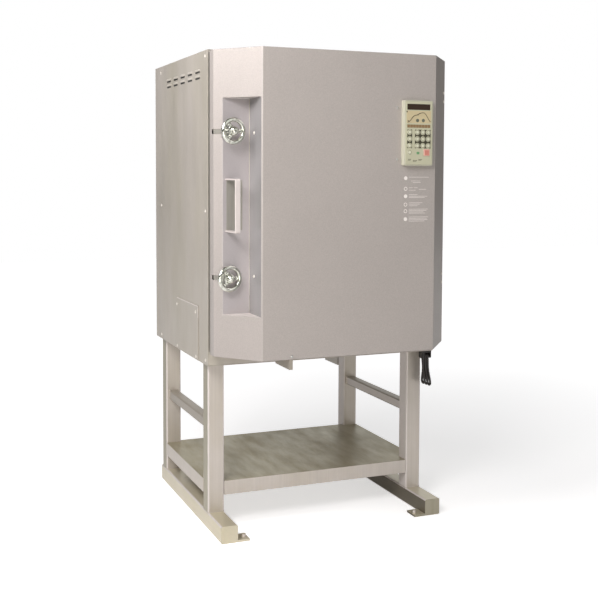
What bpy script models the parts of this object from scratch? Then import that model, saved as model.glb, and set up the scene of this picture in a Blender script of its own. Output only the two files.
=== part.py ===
"""Electric pottery kiln: a front-loading cabinet on a steel stand.

Metres, +Z up, the door faces -Y. Inside the functions, places are given in the
cabinet's own frame: X from the cabinet's middle, Y from its front face, Z from
the floor. One empty carries that frame to the middle of the object's box.
"""

import math

import bmesh
import bpy
from mathutils import Matrix, Vector

# Driving dimensions: cabinet
cabinet_width = 0.737
cabinet_depth = 0.598
cabinet_height = 0.904
cabinet_bottom = 0.497
sheet = 0.002
frame_plate = 0.003
gap = 0.0003
overrun = 0.02

# Lining: from the casing's outside to the chamber
lining_side = 0.1135
lining_end = 0.117
lining_rear = 0.1147

# Door
door_rim = 0.022
door_side_depth = 0.032
door_thickness = 0.1563
chamfer_width = 0.1012
door_lift = 0.0383
door_drop = 0.0065
door_sheet = 0.002
plug_clearance = 0.008
plug_reach = 0.040
plug_inside = 0.070
gasket_width = 0.022

# Recess in the left chamfer
recess_depth = 0.1003
recess_inset = 0.0985
recess_bottom_lift = 0.1217
recess_top_drop = 0.1345
notch_height = 0.013

# Clamps
clamp_lean = math.radians(12)
clamp_inset = 0.0286
upper_clamp_drop = 0.0927
lower_clamp_rise = 0.102
upper_wheel_standoff = 0.043
lower_wheel_standoff = 0.023
spindle_radius = 0.0055
shoulder_radius = 0.008
bracket_depth = 0.008
bracket_width = 0.026
bracket_height = 0.034
wheel_radius = 0.0375
wheel_rim_radius = 0.005
wheel_hub_radius = 0.013
wheel_hub_length = 0.018
wheel_web = 0.004
wheel_web_setback = 0.002
wheel_rim_end_share = 0.95
wheel_rim_steps = 9
nut_radius = 0.0115
nut_length = 0.008
nut_front_share = 0.62
nut_edge_share = 0.5
dog_length = 0.020
dog_width = 0.009
dog_thickness = 0.005
dog_depth = 0.014
dog_tail = 0.003
pan_hole_clearance = 0.0012

# Keepers on the front frame
keeper_plate = 0.0035
keeper_height = 0.024
keeper_lip_depth = 0.017
keeper_left = 0.010
keeper_width = 0.0155

# Pull handle
handle_lift = 0.004
handle_length = 0.1485
handle_width = 0.015
handle_strap = 0.0045
handle_standoff = 0.0887
handle_inset = 0.0345

# Hinges
hinge_in = 0.006
upper_hinge_height = 1.284
lower_hinge_height = 0.734
hinge_length = 0.060
knuckle_radius = 0.0085
hinge_pin_radius = 0.004
hinge_plate = 0.003
hinge_plate_length = 0.070
hinge_leaf_start = 0.008
hinge_leaf_width = 0.036

# Stand
tube = 0.050
tube_wall = 0.003
tube_corner = 0.004
leg_inset = 0.0149
front_leg_setback = 0.050
rear_leg_inset = 0.0221
beam_front = 0.0779
beam_tail = 0.0161
rail = 0.030
rail_wall = 0.0025
rail_drop = 0.207
shelf_top = 0.141
shelf_lip = 0.042
shelf_sheet = 0.002
shelf_tail = 0.0165
anchor_plate_width = 0.036
anchor_plate_depth = 0.050
anchor_plate = 0.006
anchor_bolt_share = 0.7
anchor_bolt_radius = 0.007
anchor_bolt_height = 0.011

# Louvres and the inspection cover of the left side
louvre_count = 5
louvre_rows = 2
louvre_pitch = 0.0806
louvre_row_pitch = 0.0175
louvre_first = 0.097
louvre_drop = 0.0515
louvre_length = 0.052
louvre_height = 0.007
louvre_reach = 0.0025
louvre_lip = 0.0008
cover_front = 0.092
cover_width = 0.238
cover_height = 0.164
cover_sheet = 0.0015

# Controller
case_right_margin = 0.0183
case_width = 0.093
case_top_margin = 0.1325
case_height = 0.187
case_depth = 0.0176
case_corner = 0.003
keypad_border = 0.004
keypad_thickness = 0.0015
key_radius = 0.0062
key_clearance = 0.0003
key_travel = 0.001
key_height = 0.0022
key_columns = (0.0163, 0.0409, 0.0590, 0.0764)
key_rows = (0.0958, 0.0768, 0.0576)
lower_key_height = 0.0386
lower_key_left = 0.0163
red_key_left = 0.0715
red_key_height = 0.0380
red_key_size = 0.019

# Striker under the door
striker_inset = 0.0798
striker_width = 0.0105
striker_drop = 0.0283
striker_length = 0.110
striker_sheet = 0.002

# Heating elements and thermocouple
element_radius = 0.004
element_runs = 6
element_margin = 0.095
element_front = 0.050
element_bend_steps = 4
bore_clearance = 0.0005
thermocouple_radius = 0.006
thermocouple_reach = 0.080
thermocouple_drop = 0.120

# Box behind the right rear leg
terminal_box_step = 0.008
terminal_box_width = 0.048
terminal_box_depth = 0.116
terminal_box_drop = 0.150
terminal_box_height = 0.520
terminal_box_sheet = 0.0015

# Cord hank and its clamp
cord_diameter = 0.0065
hank_bend = 0.0095
hank_run = 0.082
hank_waist = 0.005
hank_loops = 3
hank_pitch = 0.0071
hank_inset = 0.0277
hank_lean = 0.0045
hank_fan = 0.010
hank_short_share = 0.90
hank_long_share = 1.02
hank_setback = 0.0182
hank_bend_points = 7
hank_run_points = 5
hank_gap_steps = 4
clamp_flange = 0.007
clamp_cheek = 0.002
clamp_cheek_width = 0.024
clamp_cheek_height = 0.025
hank_clearance = 0.0006

# Places that several pieces share
side_x = cabinet_width / 2
inner_x = side_x - sheet - gap
cabinet_top = cabinet_bottom + cabinet_height
inner_bottom = cabinet_bottom + sheet + gap
inner_top = cabinet_top - sheet - gap
inner_front = frame_plate + gap
inner_back = cabinet_depth - sheet - gap
chamber_x = side_x - lining_side
chamber_middle = (cabinet_bottom + cabinet_top) / 2
chamber_bottom = cabinet_bottom + lining_end
chamber_top = cabinet_top - lining_end
chamber_back = cabinet_depth - lining_rear
element_pitch = (chamber_top - chamber_bottom - 2 * element_margin) / (element_runs - 1)
door_front = door_rim + door_thickness
door_bottom = cabinet_bottom + door_lift
door_top = cabinet_top - door_drop
plug_x = chamber_x - plug_clearance
plug_bottom = chamber_bottom + plug_clearance
plug_top = chamber_top - plug_clearance
recess_y = -door_front + recess_depth
recess_x = -side_x + recess_inset
recess_bottom = door_bottom + recess_bottom_lift
recess_top = door_top - recess_top_drop
upper_clamp_height = recess_top - upper_clamp_drop
lower_clamp_height = recess_bottom + lower_clamp_rise
handle_middle = (recess_bottom + recess_top) / 2 + handle_lift
front_x = side_x - chamfer_width
hinge_x = side_x - hinge_in
hinge_y = -door_rim / 2
clamp_x = -side_x + clamp_inset
leg_outer = side_x - leg_inset
leg_inner = leg_outer - tube
leg_x = leg_outer - tube / 2
rear_leg_setback = cabinet_depth - rear_leg_inset - tube
beam_back = rear_leg_setback + tube + beam_tail
rail_bottom = cabinet_bottom - rail_drop
case_left = front_x - case_right_margin - case_width
case_bottom = door_top - case_top_margin - case_height
striker_left = striker_inset - front_x
hank_left = side_x - hank_inset
controller_back = -door_front - gap
case_front = controller_back - case_depth
keypad_front = case_front - keypad_thickness
key_back = case_front - key_travel - gap
key_front = key_back - key_height
terminal_box_left = leg_inner + terminal_box_step
terminal_box_right = terminal_box_left + terminal_box_width
terminal_box_bottom = cabinet_bottom - terminal_box_drop
terminal_box_front = cabinet_depth + gap
terminal_box_back = terminal_box_front + terminal_box_depth
reach_left = -side_x - max(louvre_reach, gap + cover_sheet)
reach_right = hinge_x + knuckle_radius
middle_x = (reach_left + reach_right) / 2
middle_y = (key_front + terminal_box_back) / 2

parts = None
cutters = None
frames = {}
empties = {}
materials = {}


def clear_scene():
    for old in list(bpy.data.objects):
        bpy.data.objects.remove(old, do_unlink=True)


def make_collections():
    global parts, cutters
    parts = bpy.data.collections.new("pottery_kiln")
    cutters = bpy.data.collections.new("cutters")
    bpy.context.scene.collection.children.link(parts)
    bpy.context.scene.collection.children.link(cutters)


def make_material(name, colour, roughness, metallic=0.0):
    material = bpy.data.materials.new(name)
    material.use_nodes = True
    shader = material.node_tree.nodes["Principled BSDF"]
    shader.inputs["Base Color"].default_value = (*colour, 1.0)
    shader.inputs["Roughness"].default_value = roughness
    shader.inputs["Metallic"].default_value = metallic
    material.diffuse_color = (*colour, 1.0)
    materials[name] = material


def make_materials():
    make_material("side_paint", (0.47, 0.43, 0.39), 0.45)
    make_material("door_paint", (0.48, 0.43, 0.40), 0.55)
    make_material("stand_paint", (0.56, 0.52, 0.48), 0.35, 0.4)
    make_material("shelf_steel", (0.35, 0.32, 0.27), 0.40, 0.8)
    make_material("chrome", (0.80, 0.80, 0.78), 0.12, 1.0)
    make_material("plated_steel", (0.60, 0.60, 0.58), 0.30, 1.0)
    make_material("firebrick", (0.80, 0.76, 0.68), 0.90)
    make_material("fibre", (0.85, 0.83, 0.78), 0.95)
    make_material("element_wire", (0.30, 0.28, 0.26), 0.60, 0.7)
    make_material("thermocouple_ceramic", (0.85, 0.80, 0.72), 0.60)
    make_material("case_plastic", (0.73, 0.74, 0.58), 0.50)
    make_material("key_plastic", (0.75, 0.76, 0.66), 0.40)
    make_material("red_key_plastic", (0.75, 0.28, 0.22), 0.40)
    make_material("clamp_rubber", (0.03, 0.03, 0.03), 0.60)
    make_material("cord_rubber", (0.02, 0.02, 0.02), 0.55)


def make_empty(name, frame, parent=None):
    empty = bpy.data.objects.new(name, None)
    empty.empty_display_size = tube
    parts.objects.link(empty)
    if parent is None:
        empty.matrix_basis = Matrix.Translation((-middle_x, -middle_y, 0))
    else:
        empty.parent = empties[parent]
        empty.matrix_basis = frames[parent].inverted() @ frame
    frames[name] = frame
    empties[name] = empty


def clamp_frame(height):
    """The frame of a clamp: on the recess plate, its -Y along the leaning spindle."""
    return Matrix.Translation((clamp_x, recess_y, height)) @ Matrix.Rotation(clamp_lean, 4, "Z")


def make_empties():
    make_empty("cabinet", Matrix.Identity(4))
    make_empty("door", Matrix.Translation((hinge_x, hinge_y, chamber_middle)), "cabinet")
    make_empty("upper_clamp", clamp_frame(upper_clamp_height), "door")
    make_empty("lower_clamp", clamp_frame(lower_clamp_height), "door")


def place(obj, frame_name, matrix, material=None):
    """Puts an object under an empty; matrix is its place in the cabinet's frame."""
    collection = cutters if material is None else parts
    for old in list(obj.users_collection):
        old.objects.unlink(obj)
    collection.objects.link(obj)
    obj.parent = empties[frame_name]
    obj.matrix_basis = frames[frame_name].inverted() @ matrix
    if material is None:
        obj.hide_render = True
        obj.display_type = "WIRE"
    else:
        obj.data.materials.clear()
        obj.data.materials.append(materials[material])
    return obj


def box(name, low, high, frame_name, material=None, base=None):
    """A box between two corners, given in the cabinet's frame or in the frame base."""
    low, high = Vector(low), Vector(high)
    mesh = bpy.data.meshes.new(name)
    solid = bmesh.new()
    bmesh.ops.create_cube(solid, size=1)
    bmesh.ops.scale(solid, vec=high - low, verts=solid.verts)
    solid.to_mesh(mesh)
    solid.free()
    obj = bpy.data.objects.new(name, mesh)
    matrix = Matrix.Translation((low + high) / 2)
    if base is not None:
        matrix = frames[base] @ matrix
    return place(obj, frame_name, matrix, material)


def cylinder(name, centre, radius, length, axis, frame_name, material=None, base=None, sides=16):
    mesh = bpy.data.meshes.new(name)
    solid = bmesh.new()
    bmesh.ops.create_cone(
        solid, cap_ends=True, segments=sides, radius1=radius, radius2=radius, depth=length
    )
    solid.to_mesh(mesh)
    solid.free()
    smooth(mesh)
    obj = bpy.data.objects.new(name, mesh)
    matrix = Matrix.Translation(centre) @ turn_to(axis)
    if base is not None:
        matrix = frames[base] @ matrix
    return place(obj, frame_name, matrix, material)


def turn_to(axis):
    """The rotation that takes +Z to the named axis."""
    return {
        "X": Matrix.Rotation(math.radians(90), 4, "Y"),
        "Y": Matrix.Rotation(math.radians(-90), 4, "X"),
        "-Y": Matrix.Rotation(math.radians(90), 4, "X"),
        "Z": Matrix.Identity(4),
    }[axis]


def smooth(mesh):
    mesh.shade_smooth()
    mesh.set_sharp_from_angle(angle=math.radians(35))


def boolean(target, other, operation):
    modifier = target.modifiers.new(other.name, "BOOLEAN")
    modifier.object = other
    modifier.operation = operation
    modifier.solver = "EXACT"


def cut(target, *others):
    for other in others:
        boolean(target, other, "DIFFERENCE")


def join(target, *others):
    for other in others:
        boolean(target, other, "UNION")


def bevel(obj, width, segments=2, angle=30):
    modifier = obj.modifiers.new("edges", "BEVEL")
    modifier.width = width
    modifier.segments = segments
    modifier.limit_method = "ANGLE"
    modifier.angle_limit = math.radians(angle)


def mesh_of(curve_object):
    """The mesh of a curve object, with its caps welded; the curve is removed."""
    parts.objects.link(curve_object)
    graph = bpy.context.evaluated_depsgraph_get()
    mesh = bpy.data.meshes.new_from_object(curve_object.evaluated_get(graph))
    name = curve_object.name
    curve = curve_object.data
    bpy.data.objects.remove(curve_object, do_unlink=True)
    bpy.data.curves.remove(curve)
    welded = bmesh.new()
    welded.from_mesh(mesh)
    bmesh.ops.remove_doubles(welded, verts=welded.verts, dist=gap / 10)
    bmesh.ops.recalc_face_normals(welded, faces=welded.faces)
    welded.to_mesh(mesh)
    welded.free()
    mesh.name = name
    return bpy.data.objects.new(name, mesh)


def extruded(name, outlines, length):
    """Flat outlines in XY, the first one round the others, extruded along Z about 0."""
    curve = bpy.data.curves.new(name, "CURVE")
    curve.dimensions = "2D"
    curve.fill_mode = "BOTH"
    curve.extrude = length / 2
    for outline in outlines:
        spline = curve.splines.new("POLY")
        spline.points.add(len(outline) - 1)
        for point, (x, y) in zip(spline.points, outline):
            point.co = (x, y, 0, 1)
        spline.use_cyclic_u = True
    obj = mesh_of(bpy.data.objects.new(name, curve))
    merge_flat_faces(obj.data)
    return obj


def merge_flat_faces(mesh):
    """Joins the triangles of each flat face, so that a cut starts from clean faces."""
    solid = bmesh.new()
    solid.from_mesh(mesh)
    bmesh.ops.dissolve_limit(
        solid, angle_limit=math.radians(0.5), verts=solid.verts, edges=solid.edges
    )
    solid.to_mesh(mesh)
    solid.free()


def rounded_square(size, corner, steps=2):
    """A square outline about 0 with round corners."""
    half = size / 2 - corner
    points = []
    for quarter in range(4):
        middle = math.radians(45 + 90 * quarter)
        centre_x = math.copysign(half, math.cos(middle))
        centre_y = math.copysign(half, math.sin(middle))
        for step in range(steps + 1):
            angle = math.radians(90 * (quarter + step / steps))
            points.append((centre_x + corner * math.cos(angle), centre_y + corner * math.sin(angle)))
    return points


def square_tube(name, size, wall, start, end, axis, material):
    """A square tube from start to end, along Y or Z."""
    start, end = Vector(start), Vector(end)
    inner = rounded_square(size - 2 * wall, tube_corner / 2, 1)
    obj = extruded(name, [rounded_square(size, tube_corner), inner], (end - start).length)
    smooth(obj.data)
    return place(obj, "cabinet", Matrix.Translation((start + end) / 2) @ turn_to(axis), material)


def path_tube(name, points, radius, resolution):
    """A tube along points, given in the cabinet's frame."""
    curve = bpy.data.curves.new(name, "CURVE")
    curve.dimensions = "3D"
    curve.bevel_depth = radius
    curve.bevel_resolution = resolution
    curve.use_fill_caps = True
    spline = curve.splines.new("POLY")
    spline.points.add(len(points) - 1)
    for point, place_ in zip(spline.points, points):
        point.co = (*place_, 1)
    obj = mesh_of(bpy.data.objects.new(name, curve))
    smooth(obj.data)
    return obj


def turned(name, profile, frame_name, material, base, steps=24):
    """A profile of (radius, height) points turned about the -Y axis of the frame base."""
    mesh = bpy.data.meshes.new(name)
    line = bmesh.new()
    verts = [line.verts.new((radius, 0, height)) for radius, height in profile]
    closed = profile[0][0] > 0
    for number in range(len(verts) - 1 + closed):
        line.edges.new((verts[number], verts[(number + 1) % len(verts)]))
    line.to_mesh(mesh)
    line.free()
    obj = bpy.data.objects.new(name, mesh)
    screw = obj.modifiers.new("turn", "SCREW")
    screw.axis = "Z"
    screw.steps = steps
    screw.render_steps = steps
    screw.use_merge_vertices = True
    screw.merge_threshold = gap / 10
    screw.use_smooth_shade = True
    return place(obj, frame_name, frames[base] @ turn_to("-Y"), material)


def make_casing():
    box(
        "right_side_panel",
        (side_x - sheet, 0, cabinet_bottom),
        (side_x, cabinet_depth, cabinet_top),
        "cabinet",
        "side_paint",
    )
    left = box(
        "left_side_panel",
        (-side_x, 0, cabinet_bottom),
        (-side_x + sheet, cabinet_depth, cabinet_top),
        "cabinet",
        "side_paint",
    )
    add_louvres(left)
    box(
        "top_panel",
        (-inner_x, 0, cabinet_top - sheet),
        (inner_x, cabinet_depth, cabinet_top),
        "cabinet",
        "side_paint",
    )
    box(
        "floor_pan",
        (-inner_x, 0, cabinet_bottom),
        (inner_x, cabinet_depth, cabinet_bottom + sheet),
        "cabinet",
        "side_paint",
    )
    box(
        "back_panel",
        (-inner_x, cabinet_depth - sheet, inner_bottom),
        (inner_x, cabinet_depth, inner_top),
        "cabinet",
        "side_paint",
    )
    front = box(
        "front_frame",
        (-inner_x, 0, inner_bottom),
        (inner_x, frame_plate, inner_top),
        "cabinet",
        "side_paint",
    )
    mouth = box(
        "mouth_cutter",
        (-chamber_x, -overrun, chamber_bottom),
        (chamber_x, frame_plate + overrun, chamber_top),
        "cabinet",
    )
    cut(front, mouth)
    box(
        "inspection_cover",
        (-side_x - gap - cover_sheet, cover_front, cabinet_bottom),
        (-side_x - gap, cover_front + cover_width, cabinet_bottom + cover_height),
        "cabinet",
        "side_paint",
    )


def add_louvres(panel):
    """Rows of pressed hoods, each open below and through the sheet."""
    hoods = bmesh.new()
    slots = bmesh.new()
    for row in range(louvre_rows):
        for number in range(louvre_count):
            middle = louvre_first + number * louvre_pitch
            top = cabinet_top - louvre_drop - row * louvre_row_pitch + louvre_height / 2
            add_hood(hoods, middle, top, louvre_length, sheet / 2, louvre_reach)
            inset = louvre_lip * 2
            add_hood(slots, middle, top - inset, louvre_length - inset, overrun, louvre_reach - louvre_lip)
    for name, shape, joiner in (("louvre_hoods", hoods, join), ("louvre_slots", slots, cut)):
        mesh = bpy.data.meshes.new(name)
        shape.to_mesh(mesh)
        shape.free()
        helper = place(bpy.data.objects.new(name, mesh), "cabinet", Matrix.Identity(4))
        joiner(panel, helper)


def add_hood(shape, middle, top, length, inside, reach):
    """A wedge from the sheet at its top to its reach at the bottom."""
    made = bmesh.ops.create_cube(shape, size=1)
    for vert in made["verts"]:
        upper = vert.co.z > 0
        outer = vert.co.x < 0
        vert.co.y = middle + length * vert.co.y
        vert.co.z = top if upper else top - louvre_height
        if outer:
            vert.co.x = -side_x + (louvre_lip / 2 if upper else -reach)
        else:
            vert.co.x = -side_x + inside


def make_lining():
    box(
        "lining_left",
        (-inner_x, inner_front, inner_bottom),
        (-chamber_x, chamber_back - gap, inner_top),
        "cabinet",
        "firebrick",
    )
    box(
        "lining_right",
        (chamber_x, inner_front, inner_bottom),
        (inner_x, chamber_back - gap, inner_top),
        "cabinet",
        "firebrick",
    )
    box(
        "lining_floor",
        (-chamber_x + gap, inner_front, inner_bottom),
        (chamber_x - gap, chamber_back - gap, chamber_bottom),
        "cabinet",
        "firebrick",
    )
    box(
        "lining_roof",
        (-chamber_x + gap, inner_front, chamber_top),
        (chamber_x - gap, chamber_back - gap, inner_top),
        "cabinet",
        "firebrick",
    )
    back = box(
        "lining_back",
        (-inner_x, chamber_back, inner_bottom),
        (inner_x, inner_back, inner_top),
        "cabinet",
        "firebrick",
    )
    return back


def element_points(side):
    """Level runs along a chamber wall, its two ends going back through the lining."""
    x = side * (chamber_x - gap - element_radius)
    bend = element_pitch / 2
    front = inner_front + element_front + bend
    back = chamber_back - element_front - bend
    low = chamber_middle - element_pitch * (element_runs - 1) / 2
    points = [(x, inner_back - gap, low)]
    for number in range(element_runs):
        height = low + number * element_pitch
        forward = number % 2 == 0
        turn_y = front if forward else back
        if number == element_runs - 1:
            points.append((x, inner_back - gap, height))
            break
        for step in range(element_bend_steps + 1):
            angle = math.radians(-90 + 180 * step / element_bend_steps)
            out = bend * math.cos(angle)
            y = turn_y - out if forward else turn_y + out
            points.append((x, y, height + bend + bend * math.sin(angle)))
    return points


def make_heating(back_lining):
    for side, name in ((-1, "element_left"), (1, "element_right")):
        points = element_points(side)
        obj = path_tube(name, points, element_radius, 1)
        place(obj, "cabinet", Matrix.Identity(4), "element_wire")
        for end, place_ in (("low", points[0]), ("high", points[-1])):
            bore = cylinder(
                f"{name}_{end}_bore",
                (place_[0], (chamber_back + inner_back) / 2, place_[2]),
                element_radius + bore_clearance,
                inner_back - chamber_back + overrun,
                "Y",
                "cabinet",
                sides=8,
            )
            cut(back_lining, bore)
    height = chamber_top - thermocouple_drop
    front = chamber_back - thermocouple_reach
    end = inner_back - gap
    cylinder(
        "thermocouple",
        (0, (front + end) / 2, height),
        thermocouple_radius,
        end - front,
        "Y",
        "cabinet",
        "thermocouple_ceramic",
        sides=12,
    )
    bore = cylinder(
        "thermocouple_bore",
        (0, (chamber_back + inner_back) / 2, height),
        thermocouple_radius + bore_clearance,
        inner_back - chamber_back + overrun,
        "Y",
        "cabinet",
        sides=12,
    )
    cut(back_lining, bore)


def make_stand():
    leg_top = cabinet_bottom - gap
    for side, side_name in ((-1, "left"), (1, "right")):
        for setback, end_name in ((front_leg_setback, "front"), (rear_leg_setback, "rear")):
            y = setback + tube / 2
            square_tube(
                f"leg_{end_name}_{side_name}",
                tube,
                tube_wall,
                (side * leg_x, y, tube + gap),
                (side * leg_x, y, leg_top),
                "Z",
                "stand_paint",
            )
        square_tube(
            f"side_rail_{side_name}",
            rail,
            rail_wall,
            (side * leg_x, front_leg_setback + tube + gap, rail_bottom + rail / 2),
            (side * leg_x, rear_leg_setback - gap, rail_bottom + rail / 2),
            "Y",
            "stand_paint",
        )
        make_foot_beam(side, side_name)
    make_shelf()


def make_foot_beam(side, side_name):
    """A square tube closed at its front end, with an anchor plate and its bolt."""
    length = beam_front + beam_back
    obj = extruded(f"foot_beam_{side_name}", [rounded_square(tube, tube_corner)], length)
    smooth(obj.data)
    middle = (side * leg_x, (beam_back - beam_front) / 2, tube / 2)
    beam = place(obj, "cabinet", Matrix.Translation(middle) @ turn_to("Y"), "stand_paint")
    hollow = box(
        f"{side_name}_beam_hollow",
        (side * leg_x - tube / 2 + tube_wall, -beam_front + tube_wall, tube_wall),
        (side * leg_x + tube / 2 - tube_wall, beam_back + overrun, tube - tube_wall),
        "cabinet",
    )
    cut(beam, hollow)
    near = leg_inner + tube_wall / 2
    far = leg_inner - anchor_plate_width
    plate = box(
        f"{side_name}_anchor_plate",
        (min(side * near, side * far), -beam_front, 0),
        (max(side * near, side * far), -beam_front + anchor_plate_depth, anchor_plate),
        "cabinet",
    )
    bolt = cylinder(
        f"{side_name}_anchor_bolt",
        (
            side * (leg_inner - anchor_plate_width * anchor_bolt_share),
            -beam_front + anchor_plate_depth / 2,
            (anchor_plate + anchor_bolt_height) / 2,
        ),
        anchor_bolt_radius,
        anchor_bolt_height,
        "Z",
        "cabinet",
        sides=6,
    )
    join(beam, plate, bolt)


def make_shelf():
    """A folded tray: its lips stand in line with the legs, its corners clear them."""
    low, high = shelf_top - shelf_lip, shelf_top
    narrow = (leg_inner - gap, front_leg_setback, rear_leg_setback + shelf_tail)
    wide = (leg_outer, front_leg_setback + tube + gap, rear_leg_setback - gap)
    tray = box(
        "shelf_tray",
        (-narrow[0], narrow[1], low),
        (narrow[0], narrow[2], high),
        "cabinet",
        "shelf_steel",
    )
    x, front, back = wide
    join(tray, box("shelf_sides", (-x, front, low), (x, back, high), "cabinet"))
    for name, (x, front, back) in (("narrow", narrow), ("wide", wide)):
        hollow = box(
            f"shelf_{name}_hollow",
            (-x + shelf_sheet, front + shelf_sheet, low - overrun),
            (x - shelf_sheet, back - shelf_sheet, high - shelf_sheet),
            "cabinet",
        )
        cut(tray, hollow)


def door_outline(inset, back):
    """The door's plan: side walls, chamfers and front, moved in by a sheet's thickness."""
    run = door_thickness - door_side_depth
    slant = math.atan2(run, chamfer_width)
    side = side_x - inset
    front = -door_front + inset
    side_end = -door_rim - door_side_depth + inset * math.tan(slant / 2 - math.pi / 4)
    corner_x = front_x - inset * math.tan(slant / 2)
    half = [(side, back), (side, side_end), (corner_x, front)]
    return half + [(-x, y) for x, y in reversed(half)]


def make_door():
    height = door_top - door_bottom
    middle = Matrix.Translation((0, 0, (door_top + door_bottom) / 2))
    shell = place(
        extruded("door_shell", [door_outline(0, -door_rim)], height), "door", middle, "door_paint"
    )
    hollow = place(
        extruded("door_hollow", [door_outline(door_sheet, overrun)], height - 2 * door_sheet),
        "door",
        middle,
    )
    block = box(
        "recess_block",
        (-cabinet_width, -door_front - overrun, recess_bottom - door_sheet),
        (recess_x + door_sheet, recess_y + door_sheet, recess_top + door_sheet),
        "door",
    )
    cut(hollow, block)
    recess = box(
        "recess_cutter",
        (-cabinet_width, -door_front - overrun * 2, recess_bottom),
        (recess_x, recess_y, recess_top),
        "door",
    )
    cut(shell, hollow, recess)
    for name, height_ in (("upper", upper_clamp_height), ("lower", lower_clamp_height)):
        notch = box(
            f"{name}_notch",
            (-cabinet_width, recess_y - overrun * 2, height_ - notch_height / 2),
            (clamp_x + notch_height / 2, -door_rim - door_side_depth / 2, height_ + notch_height / 2),
            "door",
        )
        cut(shell, notch)
    make_back_pan()
    make_plug()


def make_back_pan():
    pan_x = side_x - door_sheet - gap
    pan = box(
        "door_back_pan",
        (-pan_x, -door_rim - door_sheet, door_bottom + door_sheet + gap),
        (pan_x, -door_rim, door_top - door_sheet - gap),
        "door",
        "side_paint",
    )
    window = box(
        "plug_window",
        (-plug_x - gap, -door_rim - overrun, plug_bottom - gap),
        (plug_x + gap, -door_rim + overrun, plug_top + gap),
        "door",
    )
    cut(pan, window)
    for name in ("upper_clamp", "lower_clamp"):
        hole = cylinder(
            f"{name}_pan_hole",
            (0, -recess_y - door_rim, 0),
            spindle_radius + pan_hole_clearance,
            overrun * 2,
            "Y",
            "door",
            base=name,
        )
        cut(pan, hole)


def make_plug():
    box(
        "door_lining",
        (-plug_x, -door_rim - plug_inside, plug_bottom),
        (plug_x, plug_reach, plug_top),
        "door",
        "firebrick",
    )
    inner = plug_x + gap
    outer = inner + gasket_width
    inner_low, inner_high = plug_bottom - gap, plug_top + gap
    gasket = box(
        "door_gasket",
        (-outer, -door_rim + gap, inner_low - gasket_width),
        (outer, -gap, inner_high + gasket_width),
        "door",
        "fibre",
    )
    window = box(
        "gasket_window",
        (-inner, -door_rim - overrun, inner_low),
        (inner, overrun, inner_high),
        "door",
    )
    cut(gasket, window)


def make_clamp(name, frame_name, standoff, height):
    """Bracket on the recess plate, leaning spindle with its dog, handwheel."""
    bracket = box(
        f"{name}_clamp_bracket",
        (clamp_x - bracket_width / 2, recess_y - gap - bracket_depth, height - bracket_height / 2),
        (clamp_x + bracket_width / 2, recess_y - gap, height + bracket_height / 2),
        "door",
        "plated_steel",
    )
    bore = cylinder(
        f"{name}_bracket_bore",
        (0, 0, 0),
        spindle_radius + key_clearance,
        overrun * 3,
        "Y",
        "door",
        base=frame_name,
    )
    cut(bracket, bore)
    shoulder = (bracket_depth + gap) / math.cos(clamp_lean) + shoulder_radius * math.tan(clamp_lean) + gap
    hub_back = standoff - wheel_hub_length / 2
    hub_front = standoff + wheel_hub_length / 2
    dog_middle = (recess_y + dog_depth) / math.cos(clamp_lean)
    tail = dog_middle - dog_thickness / 2 - dog_tail
    profile = [
        (0, hub_front + gap + nut_length),
        (nut_radius * nut_front_share, hub_front + gap + nut_length),
        (nut_radius, hub_front + gap + nut_length * nut_edge_share),
        (nut_radius, hub_front + gap),
        (spindle_radius, hub_front + gap),
        (spindle_radius, hub_back - gap),
        (shoulder_radius, hub_back - gap),
        (shoulder_radius, shoulder),
        (spindle_radius, shoulder),
        (spindle_radius, tail),
        (0, tail),
    ]
    spindle = turned(f"{name}_clamp_spindle", profile, frame_name, "chrome", frame_name, 16)
    dog = box(
        f"{name}_dog",
        (-dog_width / 2, -dog_middle - dog_thickness / 2, 0),
        (dog_width / 2, -dog_middle + dog_thickness / 2, dog_length),
        frame_name,
        base=frame_name,
    )
    join(spindle, dog)
    make_wheel(name, frame_name, standoff)


def make_wheel(name, frame_name, standoff):
    bore = spindle_radius + gap
    rim_middle = wheel_radius - wheel_rim_radius
    web_front = standoff - wheel_web_setback
    web_back = web_front - wheel_web
    start = math.asin((web_front - standoff) / wheel_rim_radius)
    finish = -math.asin(wheel_rim_end_share)
    profile = [
        (bore, standoff + wheel_hub_length / 2),
        (wheel_hub_radius - wheel_web / 2, standoff + wheel_hub_length / 2),
        (wheel_hub_radius, standoff + wheel_hub_length / 2 - wheel_web / 2),
        (wheel_hub_radius + wheel_web / 2, web_front),
    ]
    sweep_start = math.pi - start
    sweep_end = -math.pi - finish
    for step in range(wheel_rim_steps + 1):
        angle = sweep_start + (sweep_end - sweep_start) * step / wheel_rim_steps
        profile.append(
            (rim_middle + wheel_rim_radius * math.cos(angle), standoff + wheel_rim_radius * math.sin(angle))
        )
    profile += [
        (wheel_hub_radius, web_back),
        (wheel_hub_radius, standoff - wheel_hub_length / 2),
        (bore, standoff - wheel_hub_length / 2),
    ]
    turned(f"{name}_handwheel", profile, frame_name, "chrome", frame_name, 28)


def make_keepers():
    """Two C-shaped keepers on the front frame, open to the left for the dogs."""
    axis_x = clamp_x + (recess_y + dog_depth) * math.tan(clamp_lean)
    left = axis_x + keeper_left
    right = left + keeper_width
    face = -keeper_lip_depth - keeper_plate
    for name, height in (("upper", upper_clamp_height), ("lower", lower_clamp_height)):
        low, high = height - keeper_height / 2, height + keeper_height / 2
        keeper = box(
            f"{name}_keeper",
            (left, face, low),
            (right, -gap, high),
            "cabinet",
            "plated_steel",
        )
        throat = box(
            f"{name}_keeper_throat",
            (left - overrun, -keeper_lip_depth, low - overrun),
            (right - keeper_plate, -gap - keeper_plate, high + overrun),
            "cabinet",
        )
        cut(keeper, throat)


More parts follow.
